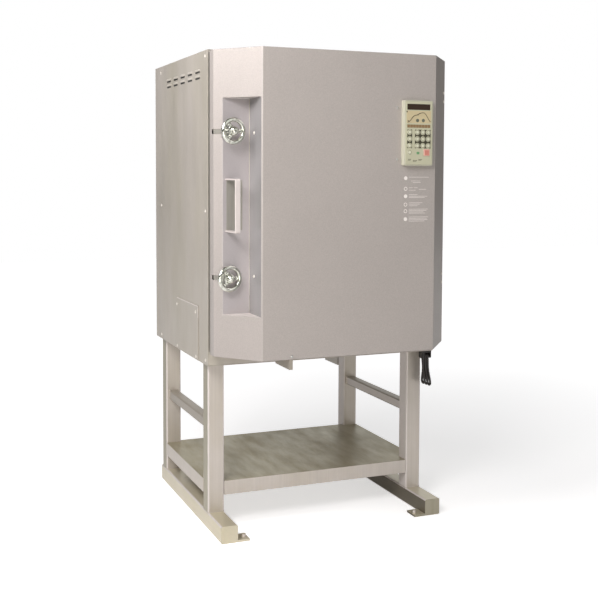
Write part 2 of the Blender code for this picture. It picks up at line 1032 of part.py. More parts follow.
def make_pull_handle():
    """A flat strap folded to a U, its two legs on the recess plate."""
    x = -side_x + handle_inset
    back = recess_y - gap
    front = back - handle_standoff
    top = handle_middle + handle_length / 2
    bottom = handle_middle - handle_length / 2
    strap = box(
        "pull_handle",
        (x - handle_width / 2, front, bottom),
        (x + handle_width / 2, back, top),
        "door",
        "stand_paint",
    )
    inside = box(
        "handle_inside",
        (x - handle_width / 2 - overrun, front + handle_strap, bottom + handle_strap),
        (x + handle_width / 2 + overrun, back + overrun, top - handle_strap),
        "door",
    )
    cut(strap, inside)


def make_hinge_half(name, body, face, low, high, height):
    """A leaf flat on a face, and its arm and knuckle between two heights."""
    plate_half = hinge_plate_length / 2
    far = hinge_x - hinge_leaf_start - hinge_leaf_width
    level = sorted(face)
    leaf = box(
        name,
        (far, level[0], height - plate_half),
        (hinge_x - hinge_leaf_start, level[1], height + plate_half),
        body,
        "side_paint",
    )
    arm = box(
        f"{name}_arm",
        (hinge_x - hinge_leaf_start - hinge_leaf_width / 2, level[0], low),
        (hinge_x, level[1], high),
        body,
    )
    knuckle = cylinder(
        f"{name}_knuckle",
        (hinge_x, hinge_y, (low + high) / 2),
        knuckle_radius,
        high - low,
        "Z",
        body,
    )
    join(leaf, arm, knuckle)
    return leaf


def make_hinge(name, height):
    """A lift-off hinge in the gap behind the door's rim: the fixed half carries the pin."""
    half = hinge_length / 2
    fixed = make_hinge_half(
        f"{name}_fixed",
        "cabinet",
        (-gap - hinge_plate, -gap),
        height - half,
        height - gap,
        height,
    )
    pin = cylinder(
        f"{name}_pin",
        (hinge_x, hinge_y, height + gap),
        hinge_pin_radius,
        hinge_length - hinge_plate,
        "Z",
        "cabinet",
    )
    join(fixed, pin)
    leaf = make_hinge_half(
        f"{name}_leaf",
        "door",
        (-door_rim + gap, -door_rim + gap + hinge_plate),
        height,
        height + half,
        height,
    )
    bore = cylinder(
        f"{name}_bore",
        (hinge_x, hinge_y, height + half / 2),
        hinge_pin_radius + gap,
        half + overrun,
        "Z",
        "door",
    )
    cut(leaf, bore)


def make_controller():
    case = box(
        "controller_case",
        (case_left, case_front, case_bottom),
        (case_left + case_width, controller_back, case_bottom + case_height),
        "door",
        "case_plastic",
    )
    bevel(case, case_corner)
    plate = box(
        "keypad_plate",
        (case_left + keypad_border, keypad_front, case_bottom + keypad_border),
        (
            case_left + case_width - keypad_border,
            case_front + case_depth / 2,
            case_bottom + case_height - keypad_border,
        ),
        "door",
    )
    places = [(x, z) for z in key_rows for x in key_columns]
    places.append((lower_key_left, lower_key_height))
    key_middle = (key_front + key_back) / 2
    hole_middle = (keypad_front + case_front) / 2
    for number, (x, z) in enumerate(places, 1):
        name = f"key_{number:02d}"
        centre_x, centre_z = case_left + x, case_bottom + z
        cylinder(
            name,
            (centre_x, key_middle, centre_z),
            key_radius,
            key_height,
            "Y",
            "door",
            "key_plastic",
        )
        hole = cylinder(
            f"{name}_hole",
            (centre_x, hole_middle, centre_z),
            key_radius + key_clearance,
            keypad_thickness + overrun,
            "Y",
            "door",
        )
        cut(plate, hole)
    half = red_key_size / 2
    centre_x, centre_z = case_left + red_key_left, case_bottom + red_key_height
    box(
        "red_key",
        (centre_x - half, key_front, centre_z - half),
        (centre_x + half, key_back, centre_z + half),
        "door",
        "red_key_plastic",
    )
    hole = box(
        "red_key_hole",
        (centre_x - half - key_clearance, keypad_front - overrun, centre_z - half - key_clearance),
        (centre_x + half + key_clearance, case_front + overrun, centre_z + half + key_clearance),
        "door",
    )
    cut(plate, hole)
    join(case, plate)


def make_striker():
    """A folded channel under the door, open at the back."""
    right = striker_left + striker_width
    top = door_bottom - gap
    bottom = top - striker_drop
    striker = box(
        "switch_striker",
        (striker_left, -door_front, bottom),
        (right, -door_front + striker_length, top),
        "door",
        "side_paint",
    )
    hollow = box(
        "striker_hollow",
        (striker_left + striker_sheet, -door_front + striker_sheet, bottom + striker_sheet),
        (right - striker_sheet, -door_front + striker_length + overrun, top - striker_sheet),
        "door",
    )
    cut(striker, hollow)


def make_terminal_box():
    """A narrow sheet box on the back, open below for its cable."""
    top = terminal_box_bottom + terminal_box_height
    shell = box(
        "rear_terminal_box",
        (terminal_box_left, terminal_box_front, terminal_box_bottom),
        (terminal_box_right, terminal_box_back, top),
        "cabinet",
        "side_paint",
    )
    t = terminal_box_sheet
    hollow = box(
        "terminal_box_hollow",
        (terminal_box_left + t, terminal_box_front + t, terminal_box_bottom - overrun),
        (terminal_box_right - t, terminal_box_back - t, top - t),
        "cabinet",
    )
    cut(shell, hollow)


hank_top = cabinet_bottom - gap - clamp_flange
hank_bend_top = hank_top - gap - cord_diameter / 2
hank_upper = hank_bend_top - hank_bend
hank_lower = hank_upper - hank_run


def hank_loop_place(share):
    """The cord's reach to the front and its height, a share of the way round one loop.

    It goes down the front run, round the bottom, up the back run and round the top.
    """
    run, turn = hank_run, math.pi * hank_bend
    along = (share % 1) * 2 * (run + turn)
    if along < run:
        side, down = 1, along
    elif along < run + turn:
        angle = (along - run) / hank_bend
        return hank_bend * math.cos(angle), hank_lower - hank_bend * math.sin(angle)
    elif along < 2 * run + turn:
        side, down = -1, 2 * run + turn - along
    else:
        angle = (along - 2 * run - turn) / hank_bend
        return -hank_bend * math.cos(angle), hank_upper + hank_bend * math.sin(angle)
    draw = hank_waist / 2 * (1 - math.cos(2 * math.pi * down / run))
    return side * (hank_bend - draw), hank_upper - down


def hank_points():
    """One unbroken cord: down out of the flange, round the loops, up into the flange."""
    run_share = hank_run / (2 * (hank_run + math.pi * hank_bend))
    turn_share = 0.5 - run_share
    shares = []
    for loop in range(hank_loops):
        for half in range(2):
            start = loop + half / 2
            shares += [start + run_share * n / hank_run_points for n in range(hank_run_points)]
            if loop == hank_loops - 1 and half == 1:
                shares.append(start + run_share)
                break
            turn_start = start + run_share
            shares += [turn_start + turn_share * n / hank_bend_points for n in range(hank_bend_points)]
    points = []
    for share in shares:
        forward, z = hank_loop_place(share)
        depth = max(0.0, hank_upper - z)
        spread = share / shares[-1]
        sag = hank_short_share + (hank_long_share - hank_short_share) * spread
        side = (hank_lean + hank_fan * (spread - 0.5)) * depth / hank_run
        x = hank_left + hank_pitch * share + side
        points.append((x, hank_setback - forward, z + depth - depth * sag))
    first, last = points[0], points[-1]
    entry = (first[0], first[1], hank_top - gap)
    exit_ = (last[0], last[1], hank_top - gap)
    return [entry] + points + [exit_]


def least_gap(points, diameter):
    """The least gap of the cord to itself, measured on points along it."""
    fine = []
    for start, end in zip(points, points[1:]):
        a, b = Vector(start), Vector(end)
        fine += [a.lerp(b, step / hank_gap_steps) for step in range(hank_gap_steps)]
    reach = math.pi * diameter
    least = hank_run
    walked = [0.0]
    for a, b in zip(fine, fine[1:]):
        walked.append(walked[-1] + (b - a).length)
    for i, a in enumerate(fine):
        for j in range(i + 1, len(fine)):
            if walked[j] - walked[i] > reach:
                least = min(least, (fine[j] - a).length - diameter)
    return least


def make_hank():
    points = hank_points()
    obj = path_tube("cord_hank", points, cord_diameter / 2, 1)
    place(obj, "cabinet", Matrix.Identity(4), "cord_rubber")
    length = sum((Vector(b) - Vector(a)).length for a, b in zip(points, points[1:]))
    gap_mm = least_gap(points, cord_diameter) * 1000
    print(f"cord_hank: length {length:.3f} m, least gap to itself {gap_mm:.2f} mm")
    make_cable_clamp(points[-1][0])


def make_cable_clamp(last_x):
    """A flange under the cabinet, a cheek each side and a round peg that the loops hang on."""
    left = hank_left - cord_diameter / 2 - hank_clearance
    right = last_x + cord_diameter / 2 + hank_clearance
    half = hank_bend + cord_diameter / 2
    clamp = box(
        "cable_clamp",
        (left - clamp_cheek, hank_setback - half, hank_top),
        (right + clamp_cheek, hank_setback + half, cabinet_bottom - gap),
        "cabinet",
        "clamp_rubber",
    )
    for side, near in (("left", left - clamp_cheek), ("right", right)):
        cheek = box(
            f"clamp_{side}_cheek",
            (near, hank_setback - clamp_cheek_width / 2, cabinet_bottom - gap - clamp_cheek_height),
            (near + clamp_cheek, hank_setback + clamp_cheek_width / 2, hank_top + clamp_flange / 2),
            "cabinet",
        )
        join(clamp, cheek)
    peg = cylinder(
        "clamp_peg",
        ((left + right) / 2, hank_setback, hank_upper),
        hank_bend - cord_diameter / 2 - hank_clearance,
        right - left + clamp_cheek,
        "X",
        "cabinet",
        sides=20,
    )
    join(clamp, peg)


def main():
    clear_scene()
    make_collections()
    make_materials()
    make_empties()
    make_casing()
    make_keepers()
    make_heating(make_lining())
    make_stand()
    make_terminal_box()
    make_door()
    make_clamp("upper", "upper_clamp", upper_wheel_standoff, upper_clamp_height)
    make_clamp("lower", "lower_clamp", lower_wheel_standoff, lower_clamp_height)
    make_pull_handle()
    make_hinge("hinge_upper", upper_hinge_height)
    make_hinge("hinge_lower", lower_hinge_height)
    make_controller()
    make_striker()
    make_hank()


main()
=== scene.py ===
"""The electric pottery kiln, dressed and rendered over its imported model.

Places are given in the cabinet's own frame, as in the part's source: X from the
cabinet's middle, Y from its front face, Z from the floor, in metres.
"""

from math import atan2, copysign, cos, hypot, pi, radians, sin, tan, tau

import bmesh
import bpy
from mathutils import Matrix, Vector, noise


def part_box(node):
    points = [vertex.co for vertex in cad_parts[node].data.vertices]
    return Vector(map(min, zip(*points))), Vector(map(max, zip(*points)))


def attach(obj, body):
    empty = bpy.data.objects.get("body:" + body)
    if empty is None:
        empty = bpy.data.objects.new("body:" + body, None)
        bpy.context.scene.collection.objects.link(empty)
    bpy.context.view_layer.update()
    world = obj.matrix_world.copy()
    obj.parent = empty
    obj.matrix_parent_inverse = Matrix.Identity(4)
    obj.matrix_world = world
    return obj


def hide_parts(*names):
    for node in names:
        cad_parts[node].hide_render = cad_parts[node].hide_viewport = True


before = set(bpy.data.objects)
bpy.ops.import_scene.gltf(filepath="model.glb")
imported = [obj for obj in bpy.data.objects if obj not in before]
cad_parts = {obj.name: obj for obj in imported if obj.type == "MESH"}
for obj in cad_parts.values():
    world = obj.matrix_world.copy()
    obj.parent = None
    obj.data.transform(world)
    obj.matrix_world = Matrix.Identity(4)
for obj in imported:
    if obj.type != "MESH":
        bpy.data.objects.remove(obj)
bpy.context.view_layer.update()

OFFSET = Vector((0.0, -0.2573, 0.0))
GAP = 0.0003
EVEN = (1, 1, 1)
LEFT, RIGHT, FRONT, BACK = (-1, 0, 0), (1, 0, 0), (0, -1, 0), (0, 1, 0)
WHITE = (1, 1, 1, 1)

SIDE_X, SHEET = 0.3685, 0.002
CABINET_BACK, CABINET_LOW, CABINET_HIGH = 0.598, 0.497, 1.401
COVER_X = -SIDE_X - 0.0018
DOOR_LOW, DOOR_HIGH = 0.5353, 1.3945
DOOR_BACK, DOOR_RIM, DOOR_FRONT = -0.022, 0.032, -0.1783
FRONT_X = 0.2673
CHAMFER_WIDE, CHAMFER_DEEP = SIDE_X - FRONT_X, DOOR_BACK - DOOR_RIM - DOOR_FRONT
CHAMFER_RUN = CHAMFER_DEEP / CHAMFER_WIDE
RECESS_X, RECESS_Y = -0.27, -0.078
RECESS_LOW, RECESS_HIGH = 0.657, 1.26
CLAMP_X, CLAMP_LEAN = -0.3399, radians(12)
CLAMPS = {"upper": (1.1673, 0.043), "lower": (0.759, 0.023)}
HUB_HALF = 0.009
HANDLE_X, HANDLE_WIDTH, HANDLE_STRAP, HANDLE_FRONT = -0.334, 0.015, 0.0045, -0.167
HANDLE_LOW, HANDLE_HIGH = 0.88845, 1.03695
HINGE_LEAF_X = SIDE_X - 0.032
CASE_LEFT, CASE_RIGHT, CASE_LOW, CASE_HIGH = 0.156, 0.249, 1.075, 1.262
CASE_FRONT = -0.1962
OVERLAY_FRONT = CASE_FRONT - 0.0015
PLASTIC = ("door", "case_plastic")
KEY_FRONT, KEY_HEIGHT = -0.1997, 0.0022
RED_X, RED_Z, RED_HALF = CASE_LEFT + 0.0715, CASE_LOW + 0.038, 0.0095
DISPLAY = (0.164, 0.2388, 1.2345, 1.2512)
CHAMBER_MIDDLE, CHAMBER_BACK = 0.949, 0.4833
ELEMENT_X = 0.255 - GAP - 0.004
ELEMENT_RUNS, ELEMENT_PITCH = 6, 0.096
LEG_X, TUBE = 0.3286, 0.05

CORD, CLAMP_FLANGE = 0.007, 0.007
HANK_BEND, HANK_RUN, HANK_WAIST = 0.0095, 0.082, 0.005
HANK_LOOPS, HANK_PITCH = 3, 0.0071
HANK_LEFT, HANK_SETBACK = SIDE_X - 0.0277, 0.0182
HANK_LEAN, HANK_FAN, HANK_SHORT_SHARE, HANK_LONG_SHARE = 0.005, 0.009, 0.9, 1.02
HANK_TOP = CABINET_LOW - GAP - CLAMP_FLANGE
HANK_UPPER = HANK_TOP - GAP - CORD / 2 - HANK_BEND
HANK_LOWER = HANK_UPPER - HANK_RUN


# ---- materials


def linear(colour):
    """Linear red, green, blue, alpha of a colour code, a grey level or a colour."""
    if isinstance(colour, float):
        return (colour, colour, colour, 1.0)
    if isinstance(colour, str):
        values = [int(colour[i : i + 2], 16) / 255 for i in (0, 2, 4)]
        return (*[v / 12.92 if v <= 0.04045 else ((v + 0.055) / 1.055) ** 2.4 for v in values], 1.0)
    return colour


def add_node(tree, kind, inputs=(), **settings):
    """A node with its settings; each input is a value, or the socket that it is linked from."""
    made = tree.nodes.new(f"ShaderNode{kind}")
    for key, value in settings.items():
        setattr(made, key, value)
    for key, value in dict(inputs).items():
        if isinstance(value, bpy.types.NodeSocket):
            tree.links.new(value, made.inputs[key])
        else:
            made.inputs[key].default_value = value
    return made


def reckon(tree, operation, *values):
    return add_node(tree, "Math", dict(enumerate(values)), operation=operation).outputs["Value"]


def seen_share(tree):
    """One for the rays that come from the camera, or through something clear."""
    path = add_node(tree, "LightPath").outputs
    return reckon(tree, "MAXIMUM", path["Is Camera Ray"], path["Is Transmission Ray"]), path["Is Glossy Ray"]


def ramp_colours(node, *stops):
    for element, (position, colour) in zip(node.color_ramp.elements, stops):
        element.position = position
        element.color = colour


class Surface:
    """A node material built step by step round one Principled shader."""

    def __init__(self, name, colour, roughness, metallic=0.0, sockets=()):
        self.material = bpy.data.materials.new(name)
        self.material.use_nodes = True
        self.tree = self.material.node_tree
        self.inputs = self.tree.nodes["Principled BSDF"].inputs
        self.inputs["Base Color"].default_value = linear(colour)
        self.inputs["Roughness"].default_value = roughness
        self.inputs["Metallic"].default_value = metallic
        for socket, value in dict(sockets).items():
            self.inputs[socket].default_value = value

    def node(self, kind, inputs=(), **settings):
        return add_node(self.tree, kind, inputs, **settings)

    def noise(self, scale, detail, roughness, stretch):
        coords = self.node("TexCoord").outputs["Object"]
        place = self.node("Mapping", {"Vector": coords, "Scale": stretch}).outputs["Vector"]
        inputs = {"Vector": place, "Scale": scale, "Detail": detail, "Roughness": roughness}
        return self.node("TexNoise", inputs).outputs["Fac"]

    def tint(self, source, strength):
        """Multiplies the colour that the shader has so far by a source."""
        held = self.inputs["Base Color"]
        before = held.links[0].from_socket if held.is_linked else held.default_value
        inputs = {"Factor": strength, "A": before, "B": source}
        mix = self.node("Mix", inputs, data_type="RGBA", blend_type="MULTIPLY")
        self.tree.links.new(mix.outputs["Result"], held)

    def mottle(self, scale, dark, strength, detail=4.0, stretch=EVEN, start=0.3, end=0.7):
        """Darker patches in the colour."""
        ramp = self.node("ValToRGB", {"Fac": self.noise(scale, detail, 0.6, stretch)})
        ramp_colours(ramp, (start, linear(dark)), (end, WHITE))
        self.tint(ramp.outputs["Color"], strength)

    def roughen(self, scale, low, high, stretch=EVEN):
        """Roughness that wanders between two values."""
        inputs = {"From Min": 0.3, "From Max": 0.7, "To Min": low, "To Max": high}
        inputs["Value"] = self.noise(scale, 4.0, 0.6, stretch)
        spread = self.node("MapRange", inputs)
        self.tree.links.new(spread.outputs["Result"], self.inputs["Roughness"])

    def bump(self, source, distance, strength):
        """Relief over what the shader's normal has so far."""
        normal = self.inputs["Normal"]
        inputs = {"Height": source, "Distance": distance, "Strength": strength}
        if normal.is_linked:
            inputs["Normal"] = normal.links[0].from_socket
        self.tree.links.new(self.node("Bump", inputs).outputs["Normal"], normal)

    def grain(self, scale, distance, strength, detail=2.0, stretch=EVEN):
        self.bump(self.noise(scale, detail, 0.5, stretch), distance, strength)


BRICK = {
    "Scale": 1.0, "Brick Width": 0.23, "Row Height": 0.114, "Mortar Size": 0.0012, "Mortar Smooth": 0.3,
    "Color1": WHITE, "Color2": (0.9, 0.88, 0.85, 1), "Mortar": (0.52, 0.47, 0.4, 1),
}


def brick_surface(name, plane):
    """Insulating firebrick; plane names the two axes that the courses lie in."""
    made = Surface(name, "E9DFCB", 0.95, sockets={"Specular IOR Level": 0.2})
    coords = made.node("TexCoord").outputs["Object"]
    split = made.node("SeparateXYZ", {"Vector": coords}).outputs
    join = made.node("CombineXYZ", {"X": split[plane[0]], "Y": split[plane[1]]})
    bricks = made.node("TexBrick", {**BRICK, "Vector": join.outputs["Vector"]})
    made.tint(bricks.outputs["Color"], 1.0)
    made.mottle(40, "D8C7AC", 0.5)
    made.bump(reckon(made.tree, "SUBTRACT", 1.0, bricks.outputs["Fac"]), 0.0015, 0.8)
    made.grain(260, 0.0008, 0.7, 4.0)
    return made.material


TUBE_GRAIN, FINE_GRAIN = [(380, 0.00012, 0.45)], [(1500, 0.00005, 0.3)]
# Each row: key, name, colour, roughness, metallic, mottles, grains.
PAINTS = (
    ("side", "satin_side_paint", "C7BFB8", 0.42, 0.25,
     [(5.0, 0.9, 0.7, 5.0, (1, 1, 0.45)), (60, 0.96, 0.6), (3.4, "ECEDE0", 0.9, 3.0, (1, 1, 0.3)),
      (90, 0.93, 0.5, 3.0, (1, 1, 0.05))], [(520, 0.00012, 0.5), (6, 0.0025, 0.1)]),
    ("door", "textured_door_paint", "BBB3AD", 0.42, 0.15,
     [(330, 0.84, 0.8, 2.0), (4.0, 0.93, 0.6), (1.6, 0.92, 0.7)], [(420, 0.0005, 0.8)]),
    ("wall", "recess_wall_paint", "A3A1A0", 0.26, 0.3,
     [(9.0, 0.84, 0.9, 4.0, (1, 1, 0.35)), (330, 0.92, 0.7)], [(420, 0.0003, 0.5)]),
    ("backing", "backing_steel", "A19D94", 0.36, 0.35, [(160, 0.84, 0.8, 3.0, (1, 1, 0.06))],
     [(500, 0.0001, 0.4)]),
    ("recess", "recess_paint", "BCB5B5", 0.3, 0.3,
     [(7.0, 0.88, 0.8, 4.0, (1, 1, 0.3)), (330, 0.92, 0.7)], [(420, 0.0003, 0.5)]),
    # A lighter paint that is painted light: on the door recess's top and bottom faces, the tubes' rounded
    # corners, the right legs' and right rail's left faces, and the inspection plate's edges.
    ("ledge", "painted_light_paint", "D8D0CA", 0.4, 0.1, [(60, 0.93, 0.6)], [(420, 0.0002, 0.5)]),
    ("stand", "satin_tube_paint", "CFC7BF", 0.33, 0.42,
     [(24, 0.9, 0.8, 5.0, (1, 1, 0.12)), (160, 0.9, 0.7, 3.0, (1, 1, 0.01)), (5.0, "F4F2E8", 0.8)],
     TUBE_GRAIN),
    ("beam", "satin_beam_paint", "DAD2BF", 0.34, 0.38,
     [(24, 0.9, 0.7, 5.0, (1, 0.25, 1)), (220, 0.94, 0.6, 3.0, (1, 0.04, 1)), (5.0, "F1EFDD", 0.8)],
     TUBE_GRAIN),
    # A darker copy of the tube paint: painted shade on the rails under the cabinet and on the switch striker.
    ("rail", "shaded_rail_paint", "A69E92", 0.36, 0.35, [(30, 0.88, 0.7, 4.0, (1, 0.25, 1))],
     TUBE_GRAIN),
    # A dark copy of the tube paint: painted shade on the right foot beam's left face.
    ("shade", "shaded_beam_paint", "6B6353", 0.46, 0.2, [(26, 0.84, 0.8, 4.0, (1, 0.2, 1))],
     TUBE_GRAIN),
    # A darker copy of the tube paint: painted shade on the left legs' left faces and the right foot beam's
    # front.
    ("flank", "olive_leg_paint", "ACA593", 0.36, 0.4,
     [(20, "DDE0D2", 0.9, 4.0, (1, 1, 0.1)), (160, 0.92, 0.7, 3.0, (1, 1, 0.01))],
     TUBE_GRAIN),
    ("handle", "handle_satin", "E2D8D3", 0.3, 0.2, [(70, 0.9, 0.6, 3.0, (1, 1, 0.2))],
     [(600, 0.00008, 0.4)]),
    ("tray", "streaky_tray_steel", "B8B19A", 0.38, 0.45,
     [(7.0, "CCC2AC", 0.9, 5.0, (1.6, 0.4, 1)), (40, 0.86, 0.7, 4.0, (1.4, 0.5, 1)), (420, 0.88, 0.7)],
     [(420, 0.0002, 0.5)]),
    # The dark patches mottled into the chrome's colour are painted reflection.
    ("chrome", "bright_chrome", "E2E3D9", 0.1, 1.0, [(75, "7C786A", 0.5, 2.0, EVEN, 0.36, 0.52)],
     [(40, 0.0006, 0.15)]),
    ("plated", "plated_steel", "C2C1BE", 0.3, 0.9, [(120, 0.86, 0.7)], [(500, 0.0001, 0.4)]),
    ("heads", "bright_screw", "E6E0D6", 0.34, 0.35, [(300, 0.86, 0.6)], [(600, 0.00008, 0.4)]),
    ("fibre", "fibre_blanket", "EDE8DE", 1.0, 0.0, [(60, 0.88, 0.7)],
     [(150, 0.003, 0.7, 5.0, (1, 1, 0.4))]),
    ("wire", "oxidised_wire", "6F6660", 0.55, 0.8, [(180, "A08C7C", 0.7)], [(900, 0.0001, 0.5)]),
    ("ceramic", "ceramic_sheath", "E6DCCB", 0.65, 0.0, [(50, 0.9, 0.6)], [(400, 0.0002, 0.4)]),
    ("case", "ivory_plastic", "BFBDA9", 0.42, 0.0, [(12, 0.96, 0.5)], [(1400, 0.00006, 0.45)]),
    ("overlay", "keypad_overlay", "C3C1A6", 0.34, 0.0, [(40, 0.96, 0.5)], [(1800, 0.00004, 0.3)]),
    ("key", "pale_key", "D6D6BE", 0.32, 0.0, [(90, 0.95, 0.5)], FINE_GRAIN),
    ("keyring", "key_ring", "8A8368", 0.34, 0.0, [(90, 0.9, 0.5)], FINE_GRAIN),
    ("red", "red_key", "D08677", 0.34, 0.0, [(90, 0.93, 0.5)], FINE_GRAIN),
    ("rim", "red_key_edge", "E2AFA0", 0.34, 0.0, [(90, 0.95, 0.5)], FINE_GRAIN),
    ("tan", "tan_field", "CDBE98", 0.36, 0.0, [(90, 0.9, 0.6)], [(1500, 0.00004, 0.3)]),
    ("ground", "key_ground", "3F3C2C", 0.4, 0.0, [(60, 0.85, 0.6)], FINE_GRAIN),
    ("display", "display_glass", "41352C", 0.12, 0.0, [(30, 0.85, 0.5)], []),
    ("strip", "brown_strip", "8F7553", 0.38, 0.0, [(60, 0.92, 0.6)], FINE_GRAIN),
    ("ink", "dark_ink", "37352A", 0.45, 0.0, [(80, 0.9, 0.5)], [(1500, 0.00003, 0.3)]),
    ("lamp", "lamp_lens", "6E7060", 0.18, 0.0, [(200, 0.8, 0.5)], []),
    ("green", "green_mark", "6FA070", 0.35, 0.0, [(100, 0.92, 0.5)], [(1500, 0.00003, 0.3)]),
    ("print", "pale_print", "F2ECE6", 0.45, 0.0, [(300, 0.92, 0.6)], [(900, 0.00005, 0.3)]),
    ("print_soft", "soft_print", "F2EBE5", 0.45, 0.0, [(420, 0.88, 0.8)], [(900, 0.00005, 0.3)]),
    ("rubber", "black_moulding", "2B2826", 0.52, 0.0, [(40, 0.8, 0.6)], [(700, 0.00015, 0.5)]),
    ("cord", "cord_sheath", "26211F", 0.45, 0.0, [(50, 0.78, 0.6)], [(900, 0.0001, 0.5)]),
    # Painted shade, for the louvre mouths.
    ("dark", "painted_shade_sheet", "3A3835", 0.8, 0.0, [(30, 0.8, 0.6)], [(300, 0.0002, 0.4)]),
)
ROUGHENED = {
    "side": (14, 0.34, 0.5, (1, 1, 0.35)), "tray": (20, 0.28, 0.5, (1.5, 0.4, 1)),
    "chrome": (60, 0.06, 0.18), "plated": (90, 0.24, 0.42),
    "rubber": (80, 0.42, 0.62), "cord": (90, 0.36, 0.56),
}
SOCKETS = {
    "fibre": {"Specular IOR Level": 0.1, "Sheen Weight": 0.3},
    "display": {"Coat Weight": 0.5, "Coat Roughness": 0.05},
    "lamp": {"Coat Weight": 0.4, "Coat Roughness": 0.08},
}


def make_surfaces():
    made = {}
    for key, name, colour, roughness, metallic, mottles, grains in PAINTS:
        surface = Surface(name, colour, roughness, metallic, SOCKETS.get(key, ()))
        for values in mottles:
            surface.mottle(*values)
        for values in grains:
            surface.grain(*values)
        if key in ROUGHENED:
            surface.roughen(*ROUGHENED[key])
        made[key] = surface.material
    for key, plane in (("side", "YZ"), ("back", "XZ"), ("level", "XY")):
        made[f"brick_{key}"] = brick_surface(f"firebrick_{key}", plane)
    return made


M = make_surfaces()


# ---- mesh helpers


def box(solid, low, high, radius=0.0, segments=3):
    """A box with rounded edges, added to the bmesh."""
    made = bmesh.ops.create_cube(solid, size=1)["verts"]
    for vert in made:
        vert.co = [high[axis] if vert.co[axis] > 0 else low[axis] for axis in range(3)]
    if radius > 0:
        edges = list({edge for vert in made for edge in vert.link_edges})
        bmesh.ops.bevel(solid, geom=edges, offset=radius, segments=segments, profile=0.5, affect="EDGES")
    return solid


def fillet(points, radii, steps=5):
    """A closed outline whose corners are rounded, each with its own radius."""
    made = []
    for number, corner in enumerate(points):
        radius = radii[number]
        if radius <= 0:
            made.append(corner)
            continue
        p = Vector(corner)
        to_last = (Vector(points[number - 1]) - p).normalized()
        to_next = (Vector(points[(number + 1) % len(points)]) - p).normalized()
        half = to_last.angle(to_next) / 2
        reach = radius / tan(half)
        centre = p + (to_last + to_next).normalized() * (radius / sin(half))
        first, last = p + to_last * reach - centre, p + to_next * reach - centre
        turn = first.angle_signed(last)
        for step in range(steps + 1):
            spoke = first.copy()
            spoke.rotate(Matrix.Rotation(-turn * step / steps, 2))
            made.append(tuple(centre + spoke))
    return made


def thousandths(*rows):
    return [tuple(value / 1000 for value in row) for row in rows]


def plate_outline(low_x, high_x, low_z, high_z, radius, steps=5):
    corners = [(low_x, low_z), (high_x, low_z), (high_x, high_z), (low_x, high_z)]
    return fillet(corners, [radius] * 4, steps)


def skin(solid, rings, loop=False, capped=False):
    """Faces from each ring of vertices to the next; a ring of one vertex is a tip."""
    for a, b in zip(rings, rings[1:] + rings[:1] if loop else rings[1:]):
        count = max(len(a), len(b))
        for step in range(count):
            follow = (step + 1) % count
            corners = [a[step % len(a)], a[follow % len(a)], b[follow % len(b)], b[step % len(b)]]
            face = list(dict.fromkeys(corners))
            if len(face) > 2:
                solid.faces.new(face)
    if capped:
        solid.faces.new(rings[0][::-1])
        solid.faces.new(rings[-1])
    return solid


def prism(solid, outline, low, high, axis="Z"):
    """An outline between two levels of an axis; the outline holds the other two, in order."""
    at = "XYZ".index(axis)
    near, far = ([solid.verts.new((*p[:at], level, *p[at:])) for p in outline] for level in (low, high))
    solid.faces.new(near)
    solid.faces.new(far[::-1])
    for corners in zip(near, far, far[1:] + far[:1], near[1:] + near[:1]):
        solid.faces.new(corners)
    return solid


def lathe(solid, profile, matrix, steps=32):
    """A profile of (radius, height) turned about the matrix's +Z."""
    rings = []
    for radius, height in profile:
        count = 1 if radius < 1e-7 else steps
        angles = [tau * step / steps for step in range(count)]
        places = [Vector((radius * cos(a), radius * sin(a), height)) for a in angles]
        rings.append([solid.verts.new(matrix @ place) for place in places])
    return skin(solid, rings, loop=len(rings[0]) > 1 and len(rings[-1]) > 1)


def tube(solid, points, radius, sides=12, closed=False):
    """A round tube along points, its frame carried along without twist."""
    points = [Vector(p) for p in points]
    count = len(points)
    rings = []
    side = None
    for i, point in enumerate(points):
        before = points[i - 1] if i or closed else point
        after = points[(i + 1) % count] if i < count - 1 or closed else point
        ahead = (after - before).normalized()
        if side is None:
            guide = Vector((0, 0, 1)) if abs(ahead.z) < 0.9 else Vector((1, 0, 0))
            side = ahead.cross(guide).normalized()
        side = (side - ahead * side.dot(ahead)).normalized()
        up = ahead.cross(side)
        size = radius[i] if isinstance(radius, list) else radius
        angles = [tau * step / sides for step in range(sides)]
        ring = [point + side * size * cos(a) + up * size * sin(a) for a in angles]
        rings.append([solid.verts.new(place) for place in ring])
    return skin(solid, rings, loop=closed, capped=not closed)


def rotation(degrees, axis):
    return Matrix.Rotation(radians(degrees), 4, axis)


def facing(place, axis):
    """The matrix that stands +Z along an axis at a place."""
    turn = Vector((0, 0, 1)).rotation_difference(Vector(axis).normalized())
    return Matrix.Translation(place) @ turn.to_matrix().to_4x4()


def disc(solid, place, axis, profile, steps=32):
    """A turned shape that stands on a place."""
    return lathe(solid, profile, facing(place, axis), steps)


def pin_profile(radius, low, high):
    return [(0, low), (radius, low), (radius, high), (0, high)]


def add_object(name, data):
    obj = bpy.data.objects.new(name, data)
    bpy.context.scene.collection.objects.link(obj)
    return obj


def from_bmesh(name, solid):
    bmesh.ops.recalc_face_normals(solid, faces=solid.faces)
    mesh = bpy.data.meshes.new(name)
    solid.to_mesh(mesh)
    solid.free()
    return add_object(name, mesh)


